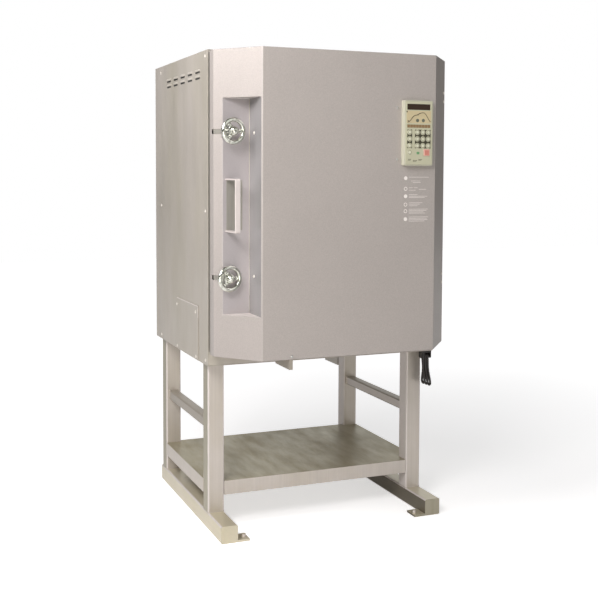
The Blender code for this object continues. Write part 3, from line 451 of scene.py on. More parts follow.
def combined(base, *steps):
    """A new bmesh: the base with each (operation, bmesh) done to it in turn."""
    target = from_bmesh("temporary", base)
    helpers = []
    for operation, solid in steps:
        helper = from_bmesh("temporary", solid)
        modifier = target.modifiers.new("combine", "BOOLEAN")
        modifier.object = helper
        modifier.operation = operation
        modifier.solver = "EXACT"
        helpers.append(helper)
    bpy.context.view_layer.update()
    graph = bpy.context.evaluated_depsgraph_get()
    mesh = bpy.data.meshes.new_from_object(target.evaluated_get(graph))
    result = bmesh.new()
    result.from_mesh(mesh)
    bpy.data.meshes.remove(mesh)
    for obj in [target, *helpers]:
        held = obj.data
        bpy.data.objects.remove(obj, do_unlink=True)
        bpy.data.meshes.remove(held)
    return result


def soften(obj, width, segments=2):
    modifier = obj.modifiers.new("edges", "BEVEL")
    modifier.width = width
    modifier.segments = segments
    modifier.limit_method = "ANGLE"
    modifier.angle_limit = radians(40)


def piece(name, solid, materials, body, slot, nodes=(), bevel=0.0, angle=32, segments=2):
    """Turns a bmesh into a finished piece that rides on a body."""
    obj = from_bmesh(name, solid)
    mesh = obj.data
    mesh.transform(Matrix.Translation(OFFSET))
    for material in materials if isinstance(materials, list) else [materials]:
        mesh.materials.append(M[material])
    mesh.shade_smooth()
    mesh.set_sharp_from_angle(angle=radians(angle))
    if bevel > 0:
        soften(obj, bevel, segments)
    obj.modifiers.new("normals", "WEIGHTED_NORMAL").keep_sharp = True
    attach(obj, body)
    if nodes:
        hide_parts(*nodes)
    return obj


def dress_node(name, material, bevel=0.0, others=(), choose=None):
    """A carried CAD node: procedural materials, chosen by a face's normal, and softened edges."""
    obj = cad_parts[name]
    obj.data.materials.clear()
    for key in (material, *others):
        obj.data.materials.append(M[key])
    for face in obj.data.polygons:
        face.material_index = choose(name, face.normal) if choose else 0
    if bevel > 0:
        obj.modifiers.new("weld", "WELD").merge_threshold = 0.00001
        soften(obj, bevel)


def node_box(name):
    low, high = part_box(name)
    return low - OFFSET, high - OFFSET


def screw(solid, centre, axis, radius, height):
    """A domed screw head with a recess in its middle."""
    shares = ((1, 0.35), (0.88, 0.72), (0.62, 0.94), (0.38, 1), (0.3, 0.55), (0, 0.35))
    profile = [(0, -0.0004), (radius, -0.0004)] + [(radius * a, height * b) for a, b in shares]
    disc(solid, centre, axis, profile, 18)


def screws(name, material, body, *rows):
    """A piece made of screws; each row: places, axis, radius, height."""
    solid = bmesh.new()
    for places, *row in rows:
        for place in places:
            screw(solid, place, *row)
    piece(name, solid, material, body, "plated_steel")


# ---- cord first


def hank_loop_place(share):
    """Reach to the front and height, a share of the way round one loop of the hank."""
    turn = pi * HANK_BEND
    along = (share % 1) * 2 * (HANK_RUN + turn)
    if along < HANK_RUN:
        side, down = 1, along
    elif along < HANK_RUN + turn:
        angle = (along - HANK_RUN) / HANK_BEND
        return HANK_BEND * cos(angle), HANK_LOWER - HANK_BEND * sin(angle)
    elif along < 2 * HANK_RUN + turn:
        side, down = -1, 2 * HANK_RUN + turn - along
    else:
        angle = (along - 2 * HANK_RUN - turn) / HANK_BEND
        return -HANK_BEND * cos(angle), HANK_UPPER + HANK_BEND * sin(angle)
    draw = HANK_WAIST / 2 * (1 - cos(tau * down / HANK_RUN))
    return side * (HANK_BEND - draw), HANK_UPPER - down


def hank_points():
    run_share = HANK_RUN / (2 * (HANK_RUN + pi * HANK_BEND))
    turn_share = 0.5 - run_share
    run_steps, turn_steps = 9, 10
    shares = []
    for half in range(2 * HANK_LOOPS):
        shares += [half / 2 + run_share * n / run_steps for n in range(run_steps)]
        if half < 2 * HANK_LOOPS - 1:
            shares += [half / 2 + run_share + turn_share * n / turn_steps for n in range(turn_steps)]
    shares.append(HANK_LOOPS - 0.5 + run_share - 1e-9)
    points = []
    for share in shares:
        forward, z = hank_loop_place(share)
        depth = max(0.0, HANK_UPPER - z)
        spread = share / shares[-1]
        sag = HANK_SHORT_SHARE + (HANK_LONG_SHARE - HANK_SHORT_SHARE) * spread
        side = (HANK_LEAN + HANK_FAN * (spread - 0.5)) * depth / HANK_RUN
        x = HANK_LEFT + HANK_PITCH * share + side
        points.append((x, HANK_SETBACK - forward, z + depth - depth * sag))
    top = HANK_TOP - GAP
    return [(*points[0][:2], top)] + points + [(*points[-1][:2], top)]


def make_cord():
    points = hank_points()
    solid = tube(bmesh.new(), points, CORD / 2, 16)
    obj = piece("cord", solid, "cord", "root", "cord_rubber", ["cord_hank"])
    low, high = node_box("cable_clamp")
    base = box(bmesh.new(), (low[0], low[1], HANK_TOP), high, 0.0012)
    half, cheek, top, drop = 0.012, 0.002, HANK_TOP + 0.002, HANK_TOP + CLAMP_FLANGE - 0.025
    front, back = HANK_SETBACK - half, HANK_SETBACK + half
    outline = fillet([(front, drop), (back, drop), (back, top), (front, top)], [0.006, 0.006, 0, 0])
    for near in (low[0], high[0] - cheek):
        prism(base, outline, near, near + cheek, "X")
    peg = pin_profile(HANK_BEND - CORD / 2 - 0.0006, 0, high[0] - low[0] - cheek)
    disc(base, (low[0] + cheek / 2, HANK_SETBACK, HANK_UPPER), RIGHT, peg)
    piece("cable_clamp_body", base, "rubber", "root", "clamp_rubber", ["cable_clamp"], 0.0006)


def make_camera():
    data = bpy.data.cameras.new("camera")
    data.lens = 60.713
    data.sensor_width = 36
    data.shift_y = -0.1104
    data.clip_end = 100
    camera = add_object("camera", data)
    turn = rotation(-22.153, "Z") @ rotation(90 - 3.414, "X") @ rotation(0.21, "Z")
    camera.matrix_world = Matrix.Translation((-1.2096, -3.0135, 1.0537)) @ turn
    bpy.context.scene.camera = camera


# ---- cabinet


def add_hood(solid, middle, top, length, height, inside, reach):
    """A pressed hood: rises smoothly from the sheet to its open lower edge."""
    across, down = 16, 6
    outer, inner = [], []
    for i in range(across + 1):
        u = -1 + 2 * i / across
        swell = max(0.0, 1 - abs(u) ** 5) ** 0.5
        y = middle + u * length / 2
        outer.append([])
        inner.append([])
        for v in [j / down for j in range(down + 1)]:
            x, z = -SIDE_X - 0.0002 - reach * sin(v * pi / 2) * swell, top - height * v
            outer[i].append(solid.verts.new((x, y, z)))
            inner[i].append(solid.verts.new((-SIDE_X + inside, y, z)))
    for (a, b), (c, d) in zip(zip(outer, inner), zip(outer[1:], inner[1:])):
        for j in range(down):
            solid.faces.new((a[j], a[j + 1], c[j + 1], c[j]))
            solid.faces.new((b[j], d[j], d[j + 1], b[j + 1]))
        solid.faces.new((a[0], c[0], d[0], b[0]))
        solid.faces.new((a[down], b[down], d[down], c[down]))
    for j in range(down):
        solid.faces.new((outer[0][j], inner[0][j], inner[0][j + 1], outer[0][j + 1]))
        solid.faces.new((outer[-1][j], outer[-1][j + 1], inner[-1][j + 1], inner[-1][j]))


def make_left_side():
    far = (-SIDE_X + SHEET, CABINET_BACK, CABINET_HIGH)
    sheet = box(bmesh.new(), (-SIDE_X, 0, CABINET_LOW), far, 0.0008, 2)
    hoods, slots, mouths = bmesh.new(), bmesh.new(), bmesh.new()
    first, pitch, high, drop = 0.097, 0.0806, 1.353, 0.0175
    for row in range(2):
        for number in range(5):
            middle, top = first + number * pitch, high - row * drop
            add_hood(hoods, middle, top, 0.052, 0.007, 0.001, 0.0023)
            add_hood(slots, middle, top - 0.0016, 0.0504, 0.0056, 0.01, 0.0014)
            mouth = plate_outline(middle - 0.0225, middle + 0.0225, top - 0.0118, top - 0.0062, 0.0026, 4)
            prism(mouths, mouth, -SIDE_X - 0.0005, -SIDE_X + 0.0004, "X")
    panel = combined(sheet, ("UNION", hoods), ("DIFFERENCE", slots))
    piece("left_panel", panel, "side", "root", "side_paint", ["left_side_panel"])
    # Dark slabs at the louvre mouths: painted shade inside the openings.
    piece("louvre_mouth_shade", mouths, "dark", "root", "side_paint")
    outline = plate_outline(0.092, 0.33, 0.4975, 0.661, 0.002, 3)
    cover = prism(bmesh.new(), outline, COVER_X, -SIDE_X - GAP, "X")
    piece("inspection_plate", cover, "side", "root", "side_paint", ["inspection_cover"], 0.0006)
    # Thin strips in the lighter paint along the cover's top edge and the top of its front edge: a painted
    # highlight on its edges.
    edge = bmesh.new()
    for y, z in ((0.328, 0.6575), (0.0965, 0.625)):
        box(edge, (COVER_X - 0.0003, 0.094, z), (COVER_X + 0.0001, y, 0.6602), 0.0001, 1)
    piece("inspection_plate_highlight", edge, "ledge", "root", "side_paint")


def make_cabinet():
    make_left_side()
    make_seal_gap_shade()
    side = thousandths((526, 1381), (22, 1384), (523, 945), (22, 943), (526, 512), (22, 512))
    cover = thousandths((324, 506.5), (116, 506.5), (326, 639), (118, 640))
    across = (-0.34, -0.12, 0.12, 0.34)
    back = [(x, CABINET_BACK, z) for x in across for z in (0.52, 0.95, 1.38) if x < 0.3 or z > 0.9]
    top = [(x, y, CABINET_HIGH - 0.0004) for x in across for y in (0.03, 0.57)]
    screws(
        "cabinet_screws", "heads", "root",
        ([(-SIDE_X, *place) for place in side], LEFT, 0.0052, 0.0017),
        ([(SIDE_X, *place) for place in side], RIGHT, 0.0042, 0.0015),
        ([(COVER_X, *place) for place in cover], LEFT, 0.0052, 0.0015),
        (back, BACK, 0.0042, 0.0015),
        (top, (0, 0, 1), 0.0042, 0.0004),
    )
    places = [(0.3356, 0.7134, z) for z in (0.375, 0.607, 0.84)]
    screws("terminal_box_screws", "plated", "root", (places, BACK, 0.0034, 0.0009))
    for material, bevel, names in (
        ("side", 0.0006, ("right_side_panel", "top_panel", "back_panel", "floor_pan", "front_frame")),
        ("side", 0.0008, ("rear_terminal_box",)),
        ("plated", 0.0006, ("upper_keeper", "lower_keeper")),
        ("brick_side", 0.0015, ("lining_left", "lining_right")),
        ("brick_back", 0.0015, ("lining_back",)),
        ("brick_level", 0.0015, ("lining_roof", "lining_floor")),
        ("ceramic", 0.0012, ("thermocouple",)),
    ):
        for name in names:
            dress_node(name, material, bevel)


def make_seal_gap_shade():
    """A dark flat seal round the front frame's edge, in the gap behind the door's rim; its dark grey is partly
    painted shade of the gap.
    """
    low, high = DOOR_LOW + 0.004, DOOR_HIGH - 0.001
    outer = plate_outline(-SIDE_X + 0.0022, SIDE_X - 0.0022, low, high, 0.0015, 3)
    inner = plate_outline(-SIDE_X + 0.013, SIDE_X - 0.012, low + 0.01, high - 0.01, 0.0015, 3)
    seal = prism(bmesh.new(), outer, -0.0012, 0.0004, "Y")
    seal = combined(seal, ("DIFFERENCE", prism(bmesh.new(), inner, -0.01, 0.01, "Y")))
    piece("frame_seal_gap_shade", seal, "backing", "root", "side_paint")


def coil_along(points, radius, pitch, per_turn):
    """A helix wound about a path, as a list of points."""
    path = [Vector(p) for p in points]
    lengths = [0.0]
    for a, b in zip(path, path[1:]):
        lengths.append(lengths[-1] + (b - a).length)
    count = int(lengths[-1] / pitch * per_turn)
    made = []
    side = None
    index = 0
    for step in range(count + 1):
        at = lengths[-1] * step / count
        while index < len(path) - 2 and lengths[index + 1] < at:
            index += 1
        ahead = (path[index + 1] - path[index]).normalized()
        point = path[index] + ahead * (at - lengths[index])
        if side is None:
            side = ahead.cross(Vector((0, 0, 1))).normalized()
        side = (side - ahead * side.dot(ahead)).normalized()
        up = ahead.cross(side)
        angle = tau * step / per_turn
        made.append(point + (side * cos(angle) + up * sin(angle)) * radius)
    return made


def element_height(number):
    return CHAMBER_MIDDLE + (number - (ELEMENT_RUNS - 1) / 2) * ELEMENT_PITCH


def element_path(x):
    """Six runs to and fro, joined by half circles, both ends at the back."""
    bend, margin = ELEMENT_PITCH / 2, 0.05
    front, back = 0.0033 + margin + bend, CHAMBER_BACK - margin - bend
    points = [(x, CHAMBER_BACK, element_height(0))]
    for number in range(ELEMENT_RUNS - 1):
        turn_y, way = (front, -1) if number % 2 == 0 else (back, 1)
        for step in range(13):
            angle = radians(-90 + 180 * step / 12)
            middle = element_height(number) + bend
            points.append((x, turn_y + way * bend * cos(angle), middle + bend * sin(angle)))
    return points + [(x, CHAMBER_BACK, element_height(ELEMENT_RUNS - 1))]


def make_elements():
    hook = 0.0047
    for side, name in ((-1, "element_left"), (1, "element_right")):
        x = side * ELEMENT_X
        solid = tube(bmesh.new(), coil_along(element_path(x), 0.0031, 0.0052, 9), 0.0008, 5)
        for number in (0, ELEMENT_RUNS - 1):
            tail = (x, CHAMBER_BACK, element_height(number))
            disc(solid, tail, BACK, pin_profile(0.0025, -0.004, 0.105), 12)
        piece(f"{name}_coil", solid, "wire", "root", "element_wire", [name])
        hooks = bmesh.new()
        angles = [radians(-100 + 200 * step / 8) for step in range(9)]
        for number in range(ELEMENT_RUNS):
            z = element_height(number)
            for y in (0.14, 0.24, 0.34):
                arc = [(x - side * hook * cos(a), y, z + hook * sin(a)) for a in angles]
                tube(hooks, arc, 0.0006, 6)
        piece(f"{name}_hooks", hooks, "plated", "root", "element_wire")


# ---- stand


def stand_face(name, normal):
    """Which of a tube's four paints a face takes: its own; a lighter one, painted highlight on rounded corners
    and painted light on the right legs' left faces; a darker one, painted shade on the left legs' left faces
    and the right foot beam's front; and a darker one still, painted shade on that beam's left face.
    """
    plain = 0 if max(abs(part) for part in normal) > 0.99 else 1
    left, front = normal.x < -0.99, normal.y < -0.99
    if name == "foot_beam_right":
        return 3 if left else 2 if front else plain
    if left and name.startswith("leg"):
        return 2 if name.endswith("left") else 1
    return plain


def make_stand():
    for material, names in (
        ("stand", ("leg_front_left", "leg_front_right", "leg_rear_left", "leg_rear_right")),
        ("beam", ("foot_beam_left", "foot_beam_right")),
    ):
        for name in names:
            dress_node(name, material, 0, ("ledge", "flank", "shade"), stand_face)
    dress_node("side_rail_left", "rail")
    # The right rail's left faces take the lighter paint: painted light.
    dress_node("side_rail_right", "rail", 0, ("ledge",), lambda _, normal: int(normal.x < -0.99))
    dress_node("shelf_tray", "tray", 0.0008, ("stand",), lambda _, normal: int(normal.z <= 0.9))
    beads = bmesh.new()
    leg, rail = TUBE / 2, 0.015
    for x in (-LEG_X, LEG_X):
        for y in (0.075, 0.5509):
            ring = plate_outline(x - leg, x + leg, y - leg, y + leg, 0.004, 3)
            bead(beads, [(a, b, TUBE + 0.0006) for a, b in ring], 0.0018)
        for y in (0.101, 0.5249):
            ring = plate_outline(x - rail, x + rail, 0.29, 0.32, 0.003, 3)
            bead(beads, [(a, y, b) for a, b in ring], 0.0014)
    piece("weld_beads", beads, "stand", "root", "stand_paint")


def bead(solid, ring, radius):
    """A weld bead round a closed ring, its size rippled along it."""
    fine = []
    for number, start in enumerate(ring):
        a, b = Vector(start), Vector(ring[(number + 1) % len(ring)])
        steps = max(1, int((b - a).length / 0.0016))
        fine += [a.lerp(b, step / steps) for step in range(steps)]
    sizes = [radius * (0.86 + 0.14 * cos(index * 2.1)) for index in range(len(fine))]
    tube(solid, fine, sizes, 8, True)


# ---- door


def door_outline(inset, back, radii):
    slant = atan2(CHAMFER_DEEP, CHAMFER_WIDE)
    side = SIDE_X - inset
    side_end = DOOR_BACK - DOOR_RIM + inset * tan(slant / 2 - pi / 4)
    corner_x = FRONT_X - inset * tan(slant / 2)
    half = [(side, back), (side, side_end), (corner_x, DOOR_FRONT + inset)]
    points = half + [(-x, y) for x, y in reversed(half)]
    return fillet(points, [0, radii[0], radii[1], radii[1], radii[0], 0], 6)


def door_face(centre, normal):
    """Which paint a face of the door takes: door, recess plate, recess wall, and on the recess's top and bottom
    faces a lighter paint that is painted light.
    """
    if abs(centre.x - RECESS_X) < 1e-4 and normal.x < -0.9:
        return 3
    if min(abs(centre.z - RECESS_LOW), abs(centre.z - RECESS_HIGH)) < 1e-4 and abs(normal.z) > 0.9:
        return 2
    return int(abs(centre.y - RECESS_Y) < 1e-4 and normal.y < -0.9)


def make_door_skin():
    shell = prism(bmesh.new(), door_outline(0, DOOR_BACK, (0.0045, 0.0045)), DOOR_LOW, DOOR_HIGH)
    corner = (RECESS_X + SHEET, RECESS_Y + SHEET, RECESS_HIGH + SHEET)
    block = box(bmesh.new(), (-0.6, -0.3, RECESS_LOW - SHEET), corner)
    inside = door_outline(SHEET, 0.02, (0.0025, 0.0025))
    hollow = prism(bmesh.new(), inside, DOOR_LOW + SHEET, DOOR_HIGH - SHEET)
    hollow = combined(hollow, ("DIFFERENCE", block))
    recess = box(bmesh.new(), (-0.6, -0.35, RECESS_LOW), (RECESS_X, RECESS_Y, RECESS_HIGH))
    steps = [("DIFFERENCE", hollow), ("DIFFERENCE", recess)]
    half = 0.0065
    for height, _ in CLAMPS.values():
        low, high = (-0.6, RECESS_Y - 0.04, height - half), (CLAMP_X + half, -0.038, height + half)
        steps.append(("DIFFERENCE", box(bmesh.new(), low, high)))
    shaped = combined(shell, *steps)
    shaped.normal_update()
    for face in shaped.faces:
        face.material_index = door_face(face.calc_center_median(), face.normal)
    paints = ["door", "recess", "ledge", "wall"]
    piece("door_skin", shaped, paints, "door", "door_paint", ["door_shell"], 0.0012)
    # A rounded fill in the corner between the recess plate and its wall, in the lighter side paint: a real
    # bend, with a painted highlight along it.
    r = 0.0013
    angles = [pi / 12 * k for k in range(7)]
    outline = [(RECESS_X - r * (1 - sin(a)), RECESS_Y - r * (1 - cos(a))) for a in angles]
    fold = prism(bmesh.new(), outline + [(RECESS_X, RECESS_Y)], RECESS_LOW + 0.001, RECESS_HIGH - 0.001)
    piece("recess_fold_highlight", fold, "side", "door", "door_paint", angle=60)


def make_door():
    make_door_skin()
    make_notch_plates()
    dress_node("door_back_pan", "side", 0.0006)
    dress_node("door_lining", "brick_back", 0.003)
    # The striker takes the rails' darker paint: painted shade.
    dress_node("switch_striker", "rail", 0.0006)
    make_gasket()
    places = [(x, DOOR_FRONT, z) for x, z in ((0.1429, 1.2407), (0.1426, 1.0931), (-0.18, 0.5435))]
    screws("door_front_screws", "plated", "door", (places, FRONT, 0.004, 0.0022))
    inward = 0.011
    chamfer = (SIDE_X - inward, DOOR_BACK - DOOR_RIM - inward * CHAMFER_RUN)
    back = [(x, DOOR_BACK, z) for x in (-0.33, -0.11, 0.11, 0.33) for z in (0.56, 1.37)]
    screws(
        "door_screws", "heads", "door",
        ([(RECESS_X, -0.118, z) for z in (1.163, 0.765)], LEFT, 0.0046, 0.0022),
        ([(*chamfer, z) for z in (1.297, 1.271, 0.747, 0.721)], (CHAMFER_RUN, -1, 0), 0.0048, 0.002),
        (back, BACK, 0.0036, 0.0014),
    )


def make_notch_plates():
    """A grey tongue in each notch of the chamfer, clear of the spindle."""
    tongues = bmesh.new()
    for height, _ in CLAMPS.values():
        outline = []
        for inward, deeper in ((0.001, 0.001), (0.0172, 0.001), (0.0172, 0.0028), (0.001, 0.0028)):
            outline.append((-SIDE_X + inward, DOOR_BACK - DOOR_RIM - inward * CHAMFER_RUN + deeper))
        prism(tongues, outline, height - 0.0064, height + 0.0064)
    piece("notch_tongues", tongues, "backing", "door", "door_paint", bevel=0.0004)


def make_gasket():
    """A compressed fibre rope round the plug, flat where it seals, soft at its edges."""
    low, high = node_box("door_gasket")
    width, depth, steps, sides = 0.022, high[1] - low[1], 40, 20
    x0, x1, z0, z1 = low[0] + width, high[0] - width, low[2] + width, high[2] - width
    corners = [(x0, z0), (x1, z0), (x1, z1), (x0, z1)]
    outward = [(-1, -1), (1, -1), (1, 1), (-1, 1)]
    stations = []
    for k in range(4):
        (ax, az), (bx, bz) = corners[k], corners[(k + 1) % 4]
        flat = [i if i == j else 0 for i, j in zip(outward[k], outward[(k + 1) % 4])]
        for step in range(steps):
            t = step / steps
            stations.append((ax + (bx - ax) * t, az + (bz - az) * t, *(flat if step else outward[k])))
    solid = bmesh.new()
    rings = []
    for x, z, ox, oz in stations:
        ring = []
        for step in range(sides):
            angle = tau * step / sides
            c, s = cos(angle), sin(angle)
            a = 0.5 + 0.5 * copysign(abs(c) ** 0.45, c)
            d = 0.5 + 0.5 * copysign(abs(s) ** 0.45, s)
            sag = 0.0005 * noise.noise(Vector((x * 22, z * 22, step * 0.7)))
            reach = min(width, a * width + (sag if a > 0.5 else 0))
            y = low[1] + depth * d + (-abs(sag) if d > 0.9 else 0)
            ring.append(solid.verts.new((x + ox * reach, y, z + oz * reach)))
        rings.append(ring)
    skin(solid, rings, loop=True)
    piece("gasket_rope", solid, "fibre", "door", "fibre", ["door_gasket"], angle=60)


def make_hinges():
    leaf = 0.003
    for name in ("hinge_upper", "hinge_lower"):
        dress_node(f"{name}_fixed", "side", 0.0005)
        dress_node(f"{name}_leaf", "side", 0.0005)
        low, high = node_box(f"{name}_fixed")
        levels = (low[2] + 0.009, (low[2] + high[2]) / 2, high[2] - 0.009)
        ends = (("", "root", -GAP - leaf, FRONT), ("_leaf", "door", DOOR_BACK + GAP + leaf, BACK))
        for end, body, y, axis in ends:
            places = [(HINGE_LEAF_X, y, z) for z in levels]
            screws(f"{name}{end}_screws", "plated", body, (places, axis, 0.0034, 0.0016))


def clamp_matrix(height):
    place = Matrix.Translation((CLAMP_X, RECESS_Y, height))
    return place @ Matrix.Rotation(CLAMP_LEAN, 4, "Z") @ rotation(90, "X")


def make_wheel(name, height, standoff):
    """A cast wheel: a round rim, three dished spokes and a hub."""
    matrix = clamp_matrix(height)
    angles = [tau * step / 20 for step in range(20)]
    rim = [(0.0315 + 0.006 * cos(a), standoff + 0.005 * sin(a)) for a in angles]
    solid = lathe(bmesh.new(), rim, matrix, 56)
    hub = thousandths(
        (5.8, 8.8), (11.2, 8.8), (12.4, 7.8), (13, 5), (14.2, -1), (14.2, -5),
        (12.8, -8.4), (11.8, -9), (5.8, -9)
    )
    lathe(solid, [(radius, standoff + level) for radius, level in hub], matrix, 40)
    inner, outer, stations, sides = 0.0118, 0.0302, 11, 14
    for spoke in range(3):
        turn = matrix @ rotation(spoke * 120, "Z")
        rings = []
        for station in range(stations):
            share = station / (stations - 1)
            radius = inner + (outer - inner) * share
            flare = (2 * share - 1) ** 2
            wide, thick = 0.0046 + 0.0034 * flare, 0.0017 + 0.0008 * flare
            rise = standoff - 0.0022 - 0.0022 * sin(pi * share) + 0.0016 * share
            ring = []
            for step in range(sides):
                c, s = cos(tau * step / sides), sin(tau * step / sides)
                across = wide * copysign(abs(c) ** 0.8, c)
                up = thick * copysign(abs(s) ** 0.8, s)
                ring.append(solid.verts.new(turn @ Vector((radius, across, rise + up))))
            rings.append(ring)
        skin(solid, rings, capped=True)
    piece(f"{name}_wheel", solid, "chrome", f"{name}_clamp", "chrome", [f"{name}_handwheel"], angle=50)


def make_spindle(name, height, standoff):
    """The turning pin with its dome nut, collar and dog."""
    matrix = clamp_matrix(height)
    bracket, pin = 0.008, 0.0055
    shoulder = (bracket + GAP) / cos(CLAMP_LEAN) + bracket * tan(CLAMP_LEAN) + GAP
    collar, top = standoff - HUB_HALF - GAP, standoff + HUB_HALF + GAP
    dog_middle = (RECESS_Y + 0.014) / cos(CLAMP_LEAN)
    dog_half = 0.0025
    tail = dog_middle - dog_half - 0.003
    angles = [radians(10 * step) for step in range(1, 10)]
    dome = [(0.0108 * sin(a), top + 0.0016 + 0.0064 * cos(a)) for a in angles]
    profile = [
        (0, top + 0.008), *dome, (0.0113, top + 0.0012), (0.0113, top), (0.0054, top), (0.0054, collar),
        (0.0076, collar), (0.008, collar - 0.0007), (0.008, shoulder), (pin, shoulder),
        (pin, tail + 0.0008), (0.0047, tail), (0, tail),
    ]
    solid = lathe(bmesh.new(), profile, matrix, 36)
    low, high = (-0.0045, 0, dog_middle - dog_half), (0.0045, 0.02, dog_middle + dog_half)
    dog = box(bmesh.new(), low, high, 0.0008, 2)
    dog.transform(matrix)
    held = bpy.data.meshes.new("dog")
    dog.to_mesh(held)
    dog.free()
    solid.from_mesh(held)
    bpy.data.meshes.remove(held)
    piece(f"{name}_spindle", solid, "chrome", f"{name}_clamp", "chrome", [f"{name}_clamp_spindle"])
    dress_node(f"{name}_clamp_bracket", "plated", 0.001)


def make_handle():
    """A flat strap with two folds, and a grey plate behind it."""
    back, low, high = RECESS_Y - GAP, HANDLE_LOW + HANDLE_STRAP, HANDLE_HIGH - HANDLE_STRAP
    inner = HANDLE_FRONT + HANDLE_STRAP
    outline = [
        (back, HANDLE_HIGH), (HANDLE_FRONT, HANDLE_HIGH), (HANDLE_FRONT, HANDLE_LOW), (back, HANDLE_LOW),
        (back, low), (inner, low), (inner, high), (back, high),
    ]
    outline = fillet(outline, [0, 0.0065, 0.0065, 0, 0, 0.002, 0.002, 0], 7)
    solid = prism(bmesh.new(), outline, HANDLE_X - HANDLE_WIDTH / 2, HANDLE_X + HANDLE_WIDTH / 2, "X")
    piece("grip", solid, "handle", "door", "stand_paint", ["pull_handle"], 0.0011, segments=3)
    outline = plate_outline(HANDLE_X - 0.004, HANDLE_X + 0.0425, low, high, 0)
    plate = prism(bmesh.new(), outline, RECESS_Y - 0.0009, RECESS_Y - 0.0001, "Y")
    piece("grip_backing", plate, "backing", "door", "door_paint", bevel=0.0002)


# ---- controller


def stack(edges, levels, front, steps):
    """A plate built up of outlines, each (depth, inset, corner radius)."""
    solid = bmesh.new()
    left, right, low, high = edges
    rings = []
    for depth, inset, radius in levels:
        outline = plate_outline(left + inset, right - inset, low + inset, high - inset, radius, steps)
        rings.append([solid.verts.new((a, front + depth, b)) for a, b in outline])
    return skin(solid, rings, capped=True)


def make_controller():
    left, right, low, high = CASE_LEFT, CASE_RIGHT, CASE_LOW, CASE_HIGH
    deep = DOOR_FRONT - GAP - CASE_FRONT
    levels = [(deep, 0, 0.005), *thousandths((2.2, 0, 5), (0.8, 0.5, 4.5), (0, 2, 3))]
    case = stack((left, right, low, high), levels, CASE_FRONT, 5)
    piece("controller_body", case, "case", *PLASTIC, ["controller_case"], angle=40)
    face, margin = OVERLAY_FRONT, 0.004
    outline = plate_outline(left + margin, right - margin, low + margin, high - margin, 0.0025)
    plate = prism(bmesh.new(), outline, face, CASE_FRONT, "Y")
    columns, rows = (0.0163, 0.0409, 0.059, 0.0764), (0.0958, 0.0768, 0.0576)
    places = [(left + x, low + z) for z in rows for x in columns]
    places.append((left + 0.0163, low + 0.0386))
    holes = bmesh.new()
    deep = 0.01
    for x, z in places:
        disc(holes, (x, CASE_FRONT - deep, z), BACK, pin_profile(0.0065, 0, 2 * deep))
    half = RED_HALF + GAP
    box(holes, (RED_X - half, CASE_FRONT - deep, RED_Z - half), (RED_X + half, CASE_FRONT + deep, RED_Z + half))
    x0, x1, z0, z1 = DISPLAY
    box(holes, (x0 - 0.0001, face - deep, z0 - 0.0001), (x1 + 0.0001, face + 0.0009, z1 + 0.0001))
    plate = combined(plate, ("DIFFERENCE", holes))
    piece("keypad_overlay", plate, "overlay", *PLASTIC, bevel=0.00025)
    window = box(bmesh.new(), (x0, face + 0.0004, z0), (x1, face + 0.0012, z1), 0.0002, 1)
    piece("display_window", window, "display", *PLASTIC)
    grounds, cuts = bmesh.new(), bmesh.new()
    for x0, x1 in ((0.0085, 0.0241), (0.0331, 0.0842)):
        outline = plate_outline(left + x0, left + x1, low + 0.05, low + 0.1035, 0.0015, 3)
        prism(grounds, outline, face - 0.00012, face + 0.0001, "Y")
    for x, z in places[: len(rows) * len(columns)]:
        disc(cuts, (x, face - 0.004, z), BACK, pin_profile(0.008, 0, 0.008), 40)
    grounds = combined(grounds, ("DIFFERENCE", cuts))
    piece("key_grounds", grounds, "ground", *PLASTIC)
    make_keys(places)
    make_prints()


def make_keys(places):
    profile = thousandths(
        (0, 0), (6.2, 0), (6.2, 1.3), (5.9, 1.7), (5, 1.9), (4.6, 1.75), (3.2, 2.05), (0, 2.2)
    )
    for number, (x, z) in enumerate(places, 1):
        solid = disc(bmesh.new(), (x, KEY_FRONT + KEY_HEIGHT, z), FRONT, profile)
        for face in solid.faces:
            centre = face.calc_center_median()
            face.material_index = int(0.0046 < hypot(centre.x - x, centre.z - z) < 0.0056)
        name = f"key_{number:02d}"
        piece(f"{name}_cap", solid, ["key", "keyring"], f"{name}_body", "key_plastic", [name])
    edges = (RED_X - RED_HALF, RED_X + RED_HALF, RED_Z - RED_HALF, RED_Z + RED_HALF)
    levels = thousandths((2.2, 0, 2.2), (0.6, 0, 2.2), (0.1, 0.6, 2), (0, 2, 1.6), (0.3, 2.7, 1.4))
    solid = stack(edges, levels, KEY_FRONT, 4)
    solid.faces.ensure_lookup_table()
    solid.faces[-1].material_index = 1
    piece("red_key_cap", solid, ["rim", "red"], "red_key_body", "red_key_plastic", ["red_key"])


def print_plates(name, material, rows, radius, steps, rise):
    """Thin rounded plates on the overlay, each (left, right, low, high)."""
    solid = bmesh.new()
    for row in rows:
        prism(solid, plate_outline(*row, radius, steps), OVERLAY_FRONT - rise, OVERLAY_FRONT + 0.0001, "Y")
    piece(name, solid, material, *PLASTIC)


CURVE = (
    (165, 1199), (170, 1201), (176, 1206), (182, 1214), (188, 1218.5), (196, 1220), (204, 1224.5),
    (212, 1226.8), (219, 1226.2), (224.5, 1221.5), (229, 1214), (234, 1206), (239, 1201.5),
)
